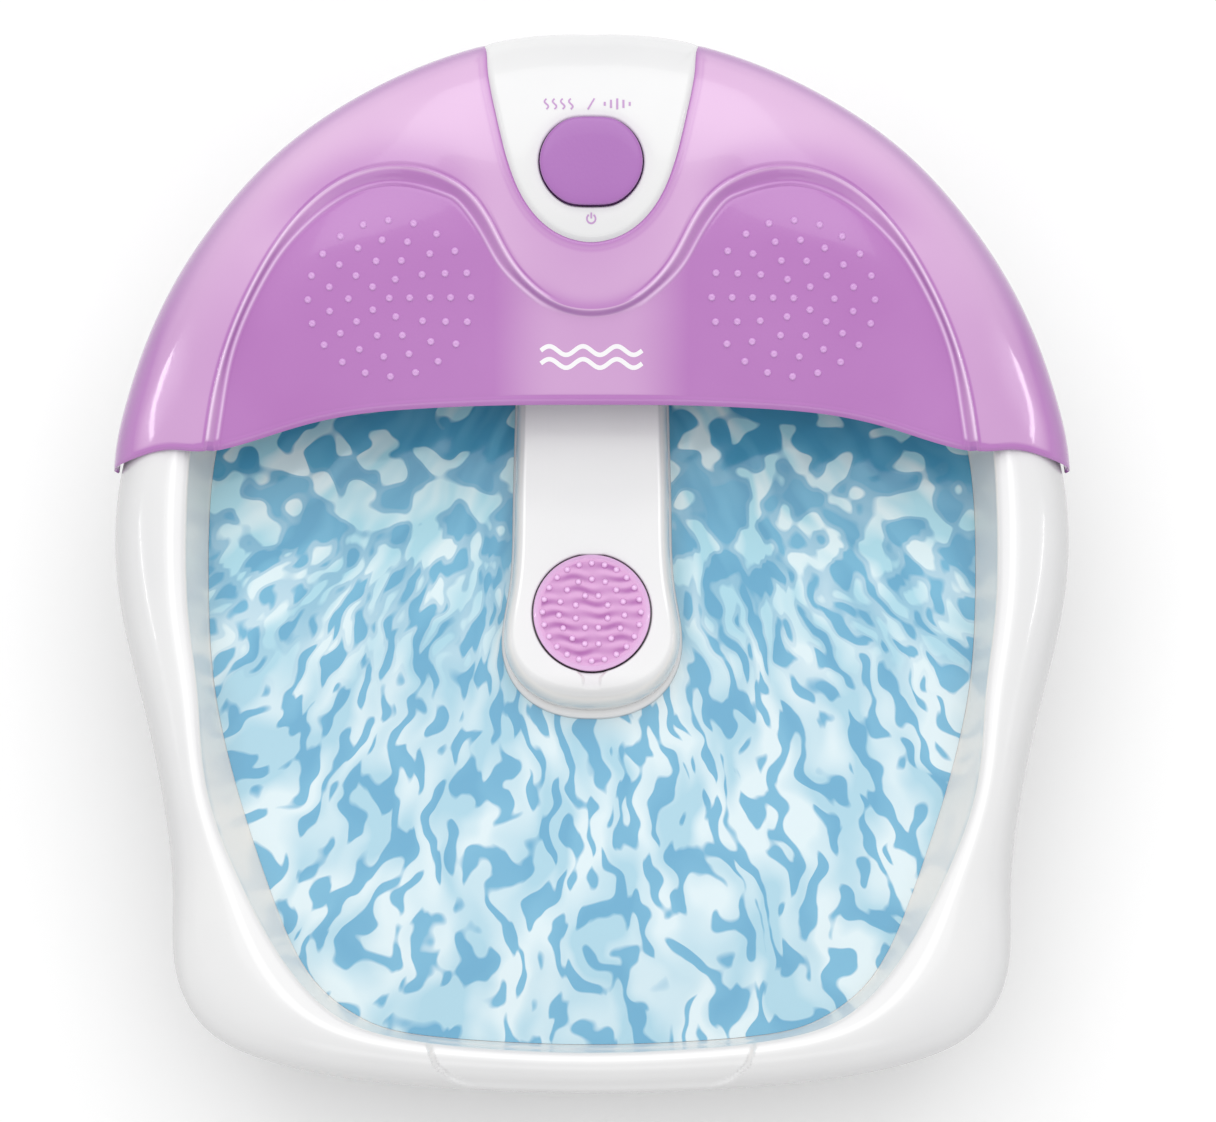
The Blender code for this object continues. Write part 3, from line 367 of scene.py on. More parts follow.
def grazing(mesh, start, end):
    """How close each point's surface is to edge-on as the camera sees it, and the points' normals."""
    normals = mesh_vectors(mesh.vertex_normals, "vector")
    highest = np.argmax(mesh_vectors(mesh.vertices, "co")[:, 2])
    normals = normals * np.sign(normals[highest, 2])
    rise = math.radians(CAMERA_ELEVATION)
    upward = normals[:, 2] * math.sin(rise) - normals[:, 1] * math.cos(rise)
    return smoothstep(start, end, upward), normals


def turned_points(profile, steps):
    """Points and faces of a body turned about Z, from a profile that starts and ends on the axis."""
    circle = spokes_at(np.arange(steps) * 2.0 * math.pi / steps)
    points = [at_height(circle * radius, height) for radius, height in profile[1:-1]]
    points = np.vstack(points + [((0.0, 0.0, profile[0][1]), (0.0, 0.0, profile[-1][1]))])
    rows = len(profile) - 2
    faces = loft_faces(rows, steps, True)
    first = rows * steps
    last, top = first + 1, first - steps
    for i in range(steps):
        j = (i + 1) % steps
        faces.append((first, j, i))
        faces.append((last, top + i, top + j))
    return points, faces


def several(name, shapes, look):
    """One object from several (points, faces) shapes."""
    points, faces, start = [], [], 0
    for some, skin in shapes:
        points.append(some)
        faces.extend(tuple(start + i for i in face) for face in skin)
        start += len(some)
    return add_object(name, mesh_of(name, np.vstack(points), faces), look)


# ---------------------------------------------------------------- looks

def srgb(code):
    values = [int(code[i:i + 2], 16) / 255.0 for i in (1, 3, 5)]
    return tuple(v / 12.92 if v <= 0.04045 else ((v + 0.055) / 1.055) ** 2.4 for v in values) + (1.0,)


class Look:
    """A node material with its shader, and short ways to add and join nodes."""

    def __init__(self, name, roughness, metallic=0.0, coat=0.0):
        self.material = bpy.data.materials.new(name)
        self.material.use_nodes = True
        self.tree = self.material.node_tree
        self.shader = self.tree.nodes["Principled BSDF"]
        self.shader.inputs["Roughness"].default_value = roughness
        self.shader.inputs["Metallic"].default_value = metallic
        self.shader.inputs["Coat Weight"].default_value = coat
        self.shader.inputs["Coat Roughness"].default_value = 0.06
        self.place = self.add("ShaderNodeTexCoord").outputs["Object"]

    def add(self, kind, **inputs):
        node = self.tree.nodes.new(kind)
        for name, value in inputs.items():
            self.feed(node.inputs[name.replace("_", " ")], value)
        return node

    def feed(self, socket, value):
        if isinstance(value, bpy.types.NodeSocket):
            self.tree.links.new(value, socket)
        else:
            socket.default_value = value

    def noise(self, scale, detail=2.0, place=None, distortion=0.0):
        return self.add("ShaderNodeTexNoise", Vector=place or self.place, Scale=scale, Detail=detail,
                        Distortion=distortion).outputs["Fac"]

    def stretched(self, scale):
        return self.add("ShaderNodeMapping", Vector=self.place, Scale=scale).outputs["Vector"]

    def ramp(self, value, *stops):
        node = self.add("ShaderNodeValToRGB", Fac=value)
        marks = node.color_ramp.elements
        while len(marks) < len(stops):
            marks.new(0.5)
        for mark, (place, colour) in zip(marks, stops):
            mark.position = place
            mark.color = colour
        return node.outputs["Color"]

    def two_tone(self, value, dark, light):
        return self.ramp(value, (0.3, srgb(dark)), (0.7, srgb(light)))

    def step(self, value, low, high):
        """Share that rises from 0 to 1 between two values."""
        return self.ramp(value, (low, (0, 0, 0, 1)), (high, (1, 1, 1, 1)))

    def mix(self, share, first, second):
        node = self.tree.nodes.new("ShaderNodeMix")
        node.data_type = "RGBA"
        for place, value in ((0, share), (6, first), (7, second)):
            self.feed(node.inputs[place], value)
        return node.outputs[2]

    def math(self, operation, first, second=0.0):
        node = self.tree.nodes.new("ShaderNodeMath")
        node.operation = operation
        self.feed(node.inputs[0], first)
        self.feed(node.inputs[1], second)
        return node.outputs[0]

    def value(self, name):
        node = self.tree.nodes.new("ShaderNodeAttribute")
        node.attribute_name = name
        return node.outputs["Fac"]

    def ranged(self, value, low, high, start=0.0, end=1.0):
        return self.add("ShaderNodeMapRange", Value=value, From_Min=start, From_Max=end, To_Min=low,
                        To_Max=high).outputs["Result"]

    def colour(self, value):
        self.feed(self.shader.inputs["Base Color"], value)

    def roughness(self, value):
        self.feed(self.shader.inputs["Roughness"], value)

    def bump(self, height, distance, strength=1.0):
        node = self.add("ShaderNodeBump", Height=height, Distance=distance, Strength=strength)
        self.feed(self.shader.inputs["Normal"], node.outputs["Normal"])


def plastic(name, dark, light, roughness, coat=0.0, grain=0.00002, grain_scale=900.0):
    """Moulded plastic: slow change of tone, uneven gloss and a fine moulded skin."""
    look = Look(name, roughness, coat=coat)
    look.colour(look.two_tone(look.noise(14.0, 3.0), dark, light))
    look.roughness(look.ranged(look.noise(55.0, 4.0), roughness * 0.85, roughness * 1.2))
    look.bump(look.noise(grain_scale, 2.0), grain)
    return look


def toned(look, **tones):
    """Mix further tones into a plastic, each by a value stored on the mesh; most of them are painted
    shade, painted light and painted highlights.
    """
    for attribute, (dark, light) in tones.items():
        first = look.shader.inputs["Base Color"].links[0].from_socket
        second = look.two_tone(look.noise(14.0, 3.0), dark, light)
        look.colour(look.mix(look.value(attribute), first, second))
    return look


def metal(name, dark, light, roughness, brushed):
    look = Look(name, roughness, metallic=1.0)
    lines = look.noise(1.0, 4.0, look.stretched(brushed))
    look.colour(look.two_tone(lines, dark, light))
    look.roughness(look.ranged(look.noise(120.0, 3.0), roughness * 0.8, roughness * 1.3))
    look.bump(lines, 0.00002)
    return look


def rubber(name, dark, light, roughness):
    look = Look(name, roughness)
    look.colour(look.two_tone(look.noise(60.0, 5.0), dark, light))
    look.roughness(look.ranged(look.noise(300.0, 3.0), roughness * 0.9, min(1.0, roughness * 1.15)))
    look.bump(look.noise(1400.0, 3.0), 0.00008)
    return look


def water_look():
    """Clear blue water with pale blobs of painted caustic light at the back that run into painted streaks
    of light at the front.
    """
    look = Look("water", 0.12)
    parts = look.add("ShaderNodeSeparateXYZ", Vector=look.place).outputs
    ahead = look.math("SUBTRACT", FAN_CENTRE_Y, parts["Y"])
    squares = [look.math("MULTIPLY", side, side) for side in (parts["X"], ahead)]
    reach = look.math("SQRT", look.math("ADD", *squares))
    across = look.math("MULTIPLY", look.math("ARCTAN2", parts["X"], ahead), 0.20)
    for scale, detail, sway in ((24.0, 1.0, 0.022), (85.0, 0.5, 0.0085)):
        across = look.math("ADD", across, look.math("MULTIPLY", look.noise(scale, detail), sway))
    fan = look.add("ShaderNodeCombineXYZ", X=across, Y=reach).outputs["Vector"]
    fan = look.add("ShaderNodeMapping", Vector=fan, Scale=(1.0, 0.32, 1.0)).outputs["Vector"]
    streaks = look.noise(222.0, 0.35, fan, 0.15)
    blobs = look.noise(104.0, 0.0, None, 0.25)
    pattern = look.mix(look.ranged(parts["Y"], 0.0, 1.0, *STREAKS_FROM), blobs, streaks)
    soft = look.step(look.noise(70.0, 1.0, fan), 0.40, 0.62)
    zones = []
    for low, high, *codes in ((0.535, 0.580, "#4C9EC2", "#62B0D0", "#A6DCE8", "#DCF2F5"),
                              (0.430, 0.480, "#5EA3C6", "#6EAFCE", "#A4CCDC", "#D6E6EB")):
        tones = [srgb(code) for code in codes]
        deep, pale = look.mix(soft, *tones[:2]), look.mix(soft, *tones[2:])
        zones.append(look.mix(look.step(pattern, low, high), deep, pale))
    look.colour(look.mix(look.ranged(parts["Y"], 0.0, 1.0, *PALER_FROM), *zones))
    look.roughness(look.ranged(blobs, 0.08, 0.16))
    look.bump(pattern, 0.0005, 0.5)
    return look


# White plastic with three painted tones: painted shade, a lighter cream tint painted against the water's
# blue reflected light, and painted highlights.
WHITE = toned(plastic("white_gloss_plastic", "#E3E3E4", "#E9E9E9", 0.24, 0.25),
              shade=("#100C12", "#18141A"), warm=("#FCF5EE", "#FEF7F0"), gleam=("#FCFCFC", "#FFFFFF"))
BASE_WHITE = plastic("white_matte_plastic", "#DADADB", "#E2E2E2", 0.50, 0.0, 0.00004)
# Purple plastic: its darker tone is partly the foot rests' own colour and partly painted shade, its edge
# tone is painted shade where the guard turns edge-on, and its gleam is a painted highlight.
PURPLE = toned(plastic("purple_gloss_plastic", "#DAB0D9", "#DFB8DD", 0.22, 0.5),
               tone=("#B473BA", "#BA7CC0"), edge=("#9A58A4", "#A05FAA"), gleam=("#F0CFF3", "#F4D8F6"))
NUB_PURPLE = plastic("nub_purple_plastic", "#D09CD7", "#D8A8DE", 0.30, 0.3)
BUTTON_PURPLE = plastic("button_purple_plastic", "#A668B2", "#AC70B8", 0.36, 0.2, 0.00004)
# Pink disc plastic: painted shade in the ridges' valleys, and painted highlights on the rim and the nubs.
PINK = toned(plastic("pink_soft_plastic", "#D69FD0", "#DCA8D6", 0.36, 0.25, 0.00003),
             shade=("#A85CA6", "#B064AE"), gleam=("#F3C6F3", "#F6CFF6"))
PRINT_LILAC = plastic("lilac_print", "#BE93C6", "#C59CCB", 0.45)
PRINT_WHITE = plastic("white_print", "#F2F0F3", "#F8F6F8", 0.40)
WATER = water_look()
SLOT_LOOKS = {
    "white_gloss": WHITE,
    "white_matte": BASE_WHITE,
    "steel": metal("zinc_plated_steel", "#A9ABAD", "#C8C9CA", 0.34, (400.0, 60.0, 400.0)),
    "brass": metal("brass", "#B08A4C", "#D0A860", 0.30, (300.0, 60.0, 300.0)),
    "copper": metal("copper_winding", "#9A5A38", "#D08A58", 0.36, (60.0, 2600.0, 60.0)),
    "aluminium": metal("aluminium", "#B4B6B8", "#CFD0D1", 0.30, (60.0, 700.0, 60.0)),
    "ferrite": rubber("ferrite_magnet", "#2A2A2C", "#3C3C3E", 0.55),
    "black_rubber": rubber("black_rubber", "#18181A", "#242426", 0.80),
    "grey_rubber": rubber("grey_rubber", "#58585A", "#68686A", 0.72),
    "red_silicone": rubber("red_silicone", "#7E2A20", "#93352A", 0.60),
    "green_board": plastic("green_board", "#12502A", "#1D6A3A", 0.40, 0.3, 0.00003, 1500.0),
    "black_plastic": plastic("black_plastic", "#1A1A1C", "#262628", 0.45, 0.0, 0.00005),
}


def paint_frame():
    """Give every CAD node that stays in view the procedural look of its slot."""
    for item in frame["nodes"].values():
        slot = item.data.materials[0].name.split(".")[0]
        if slot in SLOT_LOOKS:
            item.material_slots[0].link = "OBJECT"
            item.material_slots[0].material = SLOT_LOOKS[slot].material


# ---------------------------------------------------------------- tub

LAST_STATION = len(OUTER_MM) - 1


def both_sides(half):
    """Places round the whole tub, in stations, from those of its +X side."""
    return np.concatenate((half, 2.0 * half[-1] - half[-2:0:-1]))


def ring_places():
    """Places round the tub; they are closer together at the pouring lip's ends."""
    even = np.linspace(0.0, LAST_STATION, 8 * LAST_STATION + 1)
    return both_sides(np.unique(np.concatenate((even, np.linspace(1.0, 1.7, 43)))))


def closed_ring(half, shares=None):
    """Ring through a half outline and its mirror image, at the same places as every other."""
    def whole(points):
        right = metres(points)
        return np.vstack((right, right[-2:0:-1] * (-1.0, 1.0)))
    wrap = 6
    points = whole(half)
    guide = whole(OUTER_MM)
    knots = chord_knots(np.vstack((guide[-wrap:], guide, guide[:wrap + 1])))
    padded = np.vstack((points[-wrap:], points, points[:wrap + 1]))
    if shares is None:
        shares = ring_places()
    places = np.interp(shares, np.arange(len(guide) + 1), knots[wrap:wrap + len(guide) + 1])
    return spline(padded, knots, places)


def crest_height(y):
    shown = CREST_AT_MIDDLE + CREST_RISE * y
    hidden = smoothstep(CREST_DROP[0], CREST_DROP[1], y)
    return shown * (1.0 - hidden) + CREST_UNDER_GUARD * hidden


def with_lip(ring):
    """Lower the front rim where the pouring lip runs through it."""
    edge = metres(LIP_MM)
    half = np.interp(ring[:, 1], edge[:, 1], edge[:, 0])
    soft = 0.0011 + 0.0022 * smoothstep(-0.187, -0.193, ring[:, 1])
    across = smoothstep(1.0, -1.0, (np.abs(ring[:, 0]) - half) / soft)
    rise = smoothstep(0.0965, 0.1070, ring[:, 2])
    ring[:, 2] -= LIP_DEPTH * across * rise * (ring[:, 1] < LIP_BACK)
    return ring


def tub_outlines():
    """Rings of the skirt's widest level, the crest, the mouth, the water line and the floor's edge."""
    outer, mouth, water, floor = map(closed_ring, (OUTER_MM, MOUTH_MM, WATER_MM, FLOOR_MM))
    return outer, mouth + (outer - mouth) * CREST_SHARE, mouth, water, floor


def skirt(outer, height):
    depth = (WIDEST_LEVEL - height) / (WIDEST_LEVEL - SKIRT_BOTTOM)
    return outer * (1.0 - BOTTOM_TAPER * depth ** 1.8)


def tub_rings():
    """Outer face of the tub, from the skirt's bottom edge over the crest and down to the floor."""
    outer, crest, mouth, water, floor = tub_outlines()
    top = crest_height(crest[:, 1])
    rings = [at_height(outer * (1.0 - BOTTOM_TAPER) - outward(outer, True) * 0.0006, SKIRT_BOTTOM)]
    for height in np.concatenate(([SKIRT_BOTTOM + 0.0006], np.linspace(0.010, 0.086, 12))):
        rings.append(at_height(skirt(outer, height), height))
    for turn in np.radians(np.linspace(0.0, 90.0, 19)):
        across = 1.0 - max(math.cos(turn), 0.0) ** (2.0 / CREST_FULLNESS)
        rise = math.sin(turn) ** (2.0 / CREST_FULLNESS)
        plan = outer + (crest - outer) * across
        rings.append(at_height(plan, WIDEST_LEVEL + (top - WIDEST_LEVEL) * rise))
    for share in (0.25, 0.5, 0.7, 0.84, 0.93, 0.98, 1.0):
        fall = 1.0 - (1.0 - share ** 2.6) ** (1.0 / 2.6)
        rings.append(at_height(crest + (mouth - crest) * share, top - MOUTH_BELOW_CREST * fall))
    lip = top - MOUTH_BELOW_CREST
    for share in np.linspace(0.12, 1.0, 8):
        rings.append(at_height(mouth + (water - mouth) * share, lip + (WATER_LEVEL - lip) * share))
    for share in np.linspace(0.15, 1.0, 7):
        plan = water + (floor - water) * share ** 0.8
        rings.append(at_height(plan, WATER_LEVEL + (FLOOR_TOP + FLOOR_FILLET - WATER_LEVEL) * share))
    for turn in np.radians((22.5, 45.0, 67.5, 90.0)):
        plan = floor - outward(floor, True) * FLOOR_FILLET * (1.0 - math.cos(turn))
        rings.append(at_height(plan, FLOOR_TOP + FLOOR_FILLET * (1.0 - math.sin(turn))))
    return [with_lip(ring) for ring in rings]


def tub_underside():
    """Inner face of the tub's wall, from under the floor to the bottom edge of the skirt."""
    outer, crest, mouth, water, floor = tub_outlines()
    top = crest_height(crest[:, 1])
    rings = []
    levels = ((floor, -0.0080, FLOOR_TOP - SHELL_WALL), (floor, 0.0010, FLOOR_TOP + 0.0040),
              (floor, SHELL_WALL, FLOOR_TOP + 0.0120), (water, SHELL_WALL, WATER_LEVEL - 0.0050),
              (mouth, SHELL_WALL, top - 0.0075))
    for plan, out, height in levels:
        rings.append(at_height(plan + outward(plan, True) * out, height))
    rings.append(at_height(crest + (outer - crest) * 0.10, top - 0.0032))
    rings.append(at_height(crest + (outer - crest) * 0.55, WIDEST_LEVEL + (top - WIDEST_LEVEL) * 0.70))
    for height in (WIDEST_LEVEL, 0.060, 0.030, SKIRT_BOTTOM):
        plan = skirt(outer, height)
        rings.append(at_height(plan - outward(plan, True) * SHELL_WALL, height))
    return [with_lip(ring) for ring in rings]


def column_outline(grow, rear, count, front=0.0):
    """Column outline grown by a distance, more at its front, from its -X rear corner round the front."""
    share = np.linspace(-1.0, 1.0, count)
    curve = curve_along(mirrored_path(COLUMN_MM), (share * 0.45 + share ** 3 * 0.55 + 1.0) / 2.0)
    normal = outward(curve, False)
    curve = curve + normal * (grow + front * np.clip(-normal[:, 1:], 0.0, 1.0) ** 1.5)
    curve[0] = (curve[1, 0], rear)
    curve[-1] = (curve[-2, 0], rear)
    return curve


def pedestal_outline(inset, rear):
    curve = curve_along(mirrored_path(PEDESTAL_MM), np.linspace(0.0, 1.0, 40))
    curve = curve - outward(curve, False) * inset
    curve[0, 1] = rear
    curve[-1, 1] = rear
    return curve


def plinth_body(name, inset, low, top):
    foot = column_outline(PLINTH_GROWTH + 0.005 - inset, PLINTH_REAR, 150, PLINTH_FRONT)
    rings = [at_height(foot, low)]
    for turn in np.radians((0.0, 30.0, 60.0, 90.0)):
        grow = PLINTH_GROWTH - inset - PLINTH_FILLET * (1.0 - math.cos(turn))
        plan = column_outline(grow, PLINTH_REAR, 150, PLINTH_FRONT)
        rings.append(at_height(plan, top - PLINTH_FILLET * (1.0 - math.sin(turn))))
    return lofted(name, rings)


def pedestal_body(name, inset, low, top, rear):
    rings = (at_height(pedestal_outline(inset - 0.003, rear), low),
             at_height(pedestal_outline(inset, rear), top))
    return lofted(name, rings)


def tub():
    item = lofted("tub", tub_underside() + tub_rings(), WHITE)
    under = FLOOR_TOP - 0.001
    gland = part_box("cord_gland")
    hole = (gland[0][0] + gland[1][0]) / 2.0, (gland[0][2] + gland[1][2]) / 2.0
    points, faces = turned_points(((0, 0.150), (0.0061, 0.150), (0.0061, 0.210), (0, 0.210)), 48)
    points = np.column_stack((points[:, 0] + hole[0], points[:, 2], hole[1] - points[:, 1]))
    steps = (("UNION", plinth_body("plinth", 0.0, under, PLINTH_TOP)),
             ("UNION", pedestal_body("pedestal", 0.0, under - 0.0004, PEDESTAL_TOP, 0.178)),
             ("DIFFERENCE", plinth_body("plinth_hollow", SHELL_WALL, 0.015, PLINTH_TOP - SHELL_WALL)),
             ("DIFFERENCE", pedestal_body("pedestal_hollow", SHELL_WALL, 0.015, PEDESTAL_TOP - SHELL_WALL,
                                          0.1755)),
             ("DIFFERENCE", add_object("gland_hole", mesh_of("gland_hole", points, faces), None)))
    for operation, other in steps:
        boolean(item, other, operation)
    applied(item, [other for _, other in steps])
    tub_painted_light(item.data)
    smooth(item, 35.0)
    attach(item, "basin")
    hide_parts("basin_shell")


def tub_painted_light(mesh):
    """Painted shade on the grey flank, a painted highlight along the crest of the rim, and painted light
    on the inner wall: a lighter cream tint against the water's blue reflected light.
    """
    places = mesh_vectors(mesh.vertices, "co")
    edge_on, normals = grazing(mesh, 0.85, 0.15)
    crest = closed_line(tub_outlines()[1], 1500)
    outside = smoothstep(-0.05, 0.05, (normals[:, :2] * places[:, :2]).sum(axis=1) / 0.18)
    high = places[:, 2] > WATER_LEVEL - 0.003
    # Painted shade: the flank greys where it turns edge-on to the camera.
    point_values(mesh, "shade", 0.31 * edge_on * outside)
    # Painted light: the inner wall above the water gets a lighter cream tint against the water's blue
    # reflected light.
    inner = (1.0 - outside) * high * smoothstep(-0.188, -0.170, places[:, 1])
    point_values(mesh, "warm", inner * smoothstep(0.75, 0.45, normals[:, 2]))
    # Painted highlight: a bright line along the crest of the rim.
    gleam = np.zeros(len(places))
    top = (normals[:, 2] > 0.6) & high
    gleam[top] = 0.8 * bell(distance_to(places[top, :2], crest), 0.0009)
    point_values(mesh, "gleam", gleam)


# ---------------------------------------------------------------- splash guard

def dome_edge():
    path = metres(GUARD_MM) - (0.0, DOME_CENTRE_Y)
    return np.arctan2(path[:, 1], path[:, 0]), np.linalg.norm(path, axis=1)


def front_edge_y(x):
    path = mirrored_path(GUARD_FRONT_MM)
    return spline(path[:, 1], path[:, 0], x)


def dome_height(x, y):
    """Height of the guard's smooth outer surface over points of the plan."""
    x = np.abs(np.asarray(x, dtype=float))
    y = np.asarray(y, dtype=float)
    angle = np.arctan2(y - DOME_CENTRE_Y, np.maximum(x, 1e-9))
    angles, radii = dome_edge()
    reach = spline(radii, angles, np.clip(angle, angles[0], angles[-1]))
    share = np.clip(np.hypot(x, y - DOME_CENTRE_Y) / reach, 0.0, 1.0)
    top = DOME_FRONT_HEIGHT + DOME_SLOPE * (y - front_edge_y(x))
    rise = np.sin(np.clip(angle, 0.0, math.pi / 2.0)) ** 1.3
    edge = EDGE_HEIGHT_FRONT + (EDGE_HEIGHT_BACK - EDGE_HEIGHT_FRONT) * rise
    return edge + (top - edge) * np.sqrt(1.0 - share ** DOME_FULLNESS)


GUARD_ROWS = (90, 170)
LIP_STEPS = np.array((0.0, 0.25, 0.6, 1.0, 1.5, 2.0, 2.4, 2.7, 2.9, 3.1, 3.3, 3.6, 4.2, 5.2)) * MM
RIDGE_STEPS = np.array((0.0, 0.25, 0.5, 0.75, 1.0, 1.3, 1.7, 2.3, 3.2)) * MM


def guard_lines():
    """Front edge, ridge lines and rear boundary of one half, all at matching places."""
    first, second = GUARD_ROWS
    outer = half_curve(RIDGE_OUTER_MM, np.linspace(0.0, 1.0, 400))
    length = chord_knots(outer)
    stations = mirrored_path(RIDGE_OUTER_MM)[len(RIDGE_OUTER_MM) - 1:]
    corner = length[np.argmin(np.linalg.norm(outer - stations[6], axis=1))] / length[-1]
    ahead = np.linspace(0.0, corner, first + 1)[:-1]
    share = np.linspace(0.0, 1.0, second)
    share = share * 0.55 + (1.0 - (1.0 - share) ** 2.2) * 0.45
    behind = corner + (1.0 - corner) * share
    rows = np.concatenate((ahead, behind))
    ridge_out = half_curve(RIDGE_OUTER_MM, rows)
    ridge_in = half_curve(RIDGE_INNER_MM, rows, RIDGE_OUTER_MM)
    ridge_in[0, 0] = ridge_out[0, 0] = 0.0
    notch = curve_along(metres(NOTCH_MM), ahead / corner)
    outline = curve_along(metres(GUARD_MM[-2::-1]), (behind - corner) / (1.0 - corner))
    rear = np.vstack((notch, outline))
    rear[0, 0] = 0.0
    front = np.column_stack((ridge_in[:, 0], front_edge_y(ridge_in[:, 0])))
    front[-1] = ridge_in[-1]
    return front, ridge_in, ridge_out, rear


def guard_plan():
    """Plan grid of one half of the guard: across the front lip, foot rest, ridge and outer dome."""
    front, ridge_in, ridge_out, rear = guard_lines()
    rows = []
    ridge_share = np.linspace(0.0, 1.0, 13)[1:-1]
    inner_share = 1.0 - (1.0 - np.linspace(0.0, 1.0, 22)[1:]) ** 1.3
    outer_share = 1.0 - (1.0 - np.linspace(0.0, 1.0, 36)[1:]) ** 2.1
    for a, b, c, d in zip(front, ridge_in, ridge_out, rear):
        long = np.linalg.norm(b - a)
        squeeze = min(1.0, long / 0.016)
        lip, bead = LIP_STEPS * squeeze, RIDGE_STEPS * squeeze
        flat = lip[-1] + (long - bead[-1] - lip[-1]) * inner_share
        inner = np.concatenate((lip, flat, long - bead[-2::-1])) / max(long, 1e-9)
        inner = np.clip(inner, 0.0, 1.0)
        wide = np.linalg.norm(d - c)
        far = RIDGE_STEPS[-1] + (wide - RIDGE_STEPS[-1]) * outer_share
        outer = np.concatenate((RIDGE_STEPS, far)) / wide
        rows.append(np.vstack((a + (b - a) * inner[:, None], b + (c - b) * ridge_share[:, None],
                               c + (d - c) * outer[:, None])))
    plan = np.array(rows)
    straight = plan[-1]
    bend = front_edge_y(straight[:, 0]) - straight[:, 1]
    weight = smoothstep(0.80, 1.0, np.linspace(0.0, 1.0, len(plan)))
    plan[:, :, 1] += bend[None, :] * weight[:, None]
    return plan


def guard_relief(points):
    """Depth taken off the smooth dome, and each point's share of the darker tone, which is partly the
    foot rests' own colour and partly painted shade, and of the gleam, a painted highlight.
    """
    x, y = points[:, 0], points[:, 1]
    fine = np.linspace(0.0, 1.0, 700)
    ridge_in = half_curve(RIDGE_INNER_MM, fine, RIDGE_OUTER_MM)
    ridge_out = half_curve(RIDGE_OUTER_MM, fine)
    far_in = distance_to(points, ridge_in)
    far_out = distance_to(points, ridge_out)
    beyond = y > np.interp(x, *ridge_out.T, right=0.0)
    within = y < np.interp(x, *ridge_in.T, right=0.0)
    band = np.where(beyond, 0.0, np.where(within, 1.0, far_out / np.maximum(far_out + far_in, 1e-9)))
    slope = smoothstep(0.010, 0.026, x)
    side = slope * (1.0 - bell(x - 0.072, 0.026) * smoothstep(0.105, 0.120, y))
    crown = smoothstep(0.115, 0.140, y) * smoothstep(0.030, 0.055, x)
    # The foot rest's recess, a bead along each edge of its ridge, and a fine groove beside each bead.
    depth = FOOT_REST_DEPTH * smoothstep(0.0, 1.0, band)
    depth -= 0.00050 * bell(far_out, BEAD_WIDTH) * slope
    depth += 0.00034 * bell(np.where(beyond, far_out - GROOVE_AT, 1.0), GROOVE_WIDTH) * slope
    depth -= 0.00042 * bell(far_in, BEAD_WIDTH) * slope
    depth += 0.00020 * bell(np.where(within, far_in - GROOVE_AT, 1.0), GROOVE_WIDTH) * slope
    # A shallow valley behind the ridge, which also lowers the back of the foot rest.
    depth += np.where(beyond, VALLEY_DEPTH * bell(far_out, 0.011) * crown, VALLEY_DEPTH * crown)
    # A rolled lip with a fine groove, along the front edge and round the panel's notch.
    ahead = y - front_edge_y(x)
    wide = 0.0027 - 0.0013 * smoothstep(0.140, 0.155, x)
    depth += 0.0012 * np.clip(1.0 - ahead / wide, 0.0, 1.0) ** ROLL_POWER
    depth += 0.00010 * bell(ahead - wide - 0.0003, 0.00045)
    near = distance_to(points, half_curve(NOTCH_MM, np.linspace(0.0, 1.0, 500)))
    depth += 0.0013 * np.clip(1.0 - near / 0.0020, 0.0, 1.0) ** ROLL_POWER
    depth += 0.00012 * bell(near - 0.0030, 0.00035)
    # The darker tone: the foot rest, partly its own darker colour and partly painted shade, and painted
    # shade on its ridge, the front lip, the notch, the outer rim and the tips.
    rim = distance_to(points, half_curve(GUARD_MM[::-1], np.linspace(0.0, 1.0, 600)))
    tone = np.where(beyond, 0.0, band) * (0.26 + 0.74 * smoothstep(0.012, 0.046, x))
    dark = 1.15 - 0.65 * slope * (1.0 - bell(x - 0.072, 0.030) * smoothstep(0.095, 0.115, y))
    ridge = smoothstep(0.0, 0.3, band) * (1.0 - smoothstep(0.85, 1.0, band)) * slope
    tone = np.maximum(tone, dark * ridge)
    tone += np.where(beyond, 0.60 * bell(far_out, 0.010) * crown, 0.0)
    tone += 0.9 * bell(np.where(beyond, far_out - 0.0013, 1.0), 0.00045) * side
    tone += 0.5 * np.where(beyond, bell(far_out, 0.0030), 0.0) * (1.0 - slope)
    lip = (ahead < wide + 0.0002) * 0.85 + 0.9 * bell(ahead - wide - 0.0004, 0.0005)
    tone = np.maximum(tone, lip)
    tone += 0.95 * bell(near, 0.0022) + 0.25 * bell(near - 0.0036, 0.0005)
    tip = smoothstep(0.135, 0.065, y)
    tone += 0.9 * bell(rim, 0.0014) + 0.9 * bell(rim - 0.0060, 0.0036) * tip
    tone += np.where(beyond, 0.34 * tip, 0.0) + 0.20 * bell(near, 0.012) * smoothstep(0.165, 0.140, y)
    tone += 0.14 * smoothstep(0.165, 0.120, y)
    # Painted highlight lines along both beads.
    gleam = 0.85 * (bell(far_out - 0.00005, 0.00055) + 0.85 * bell(far_in, 0.00055)) * side
    gleam *= smoothstep(0.0030, 0.0045, ahead)
    return depth, np.clip(tone, 0.0, 1.25), np.clip(gleam, 0.0, 1.0)


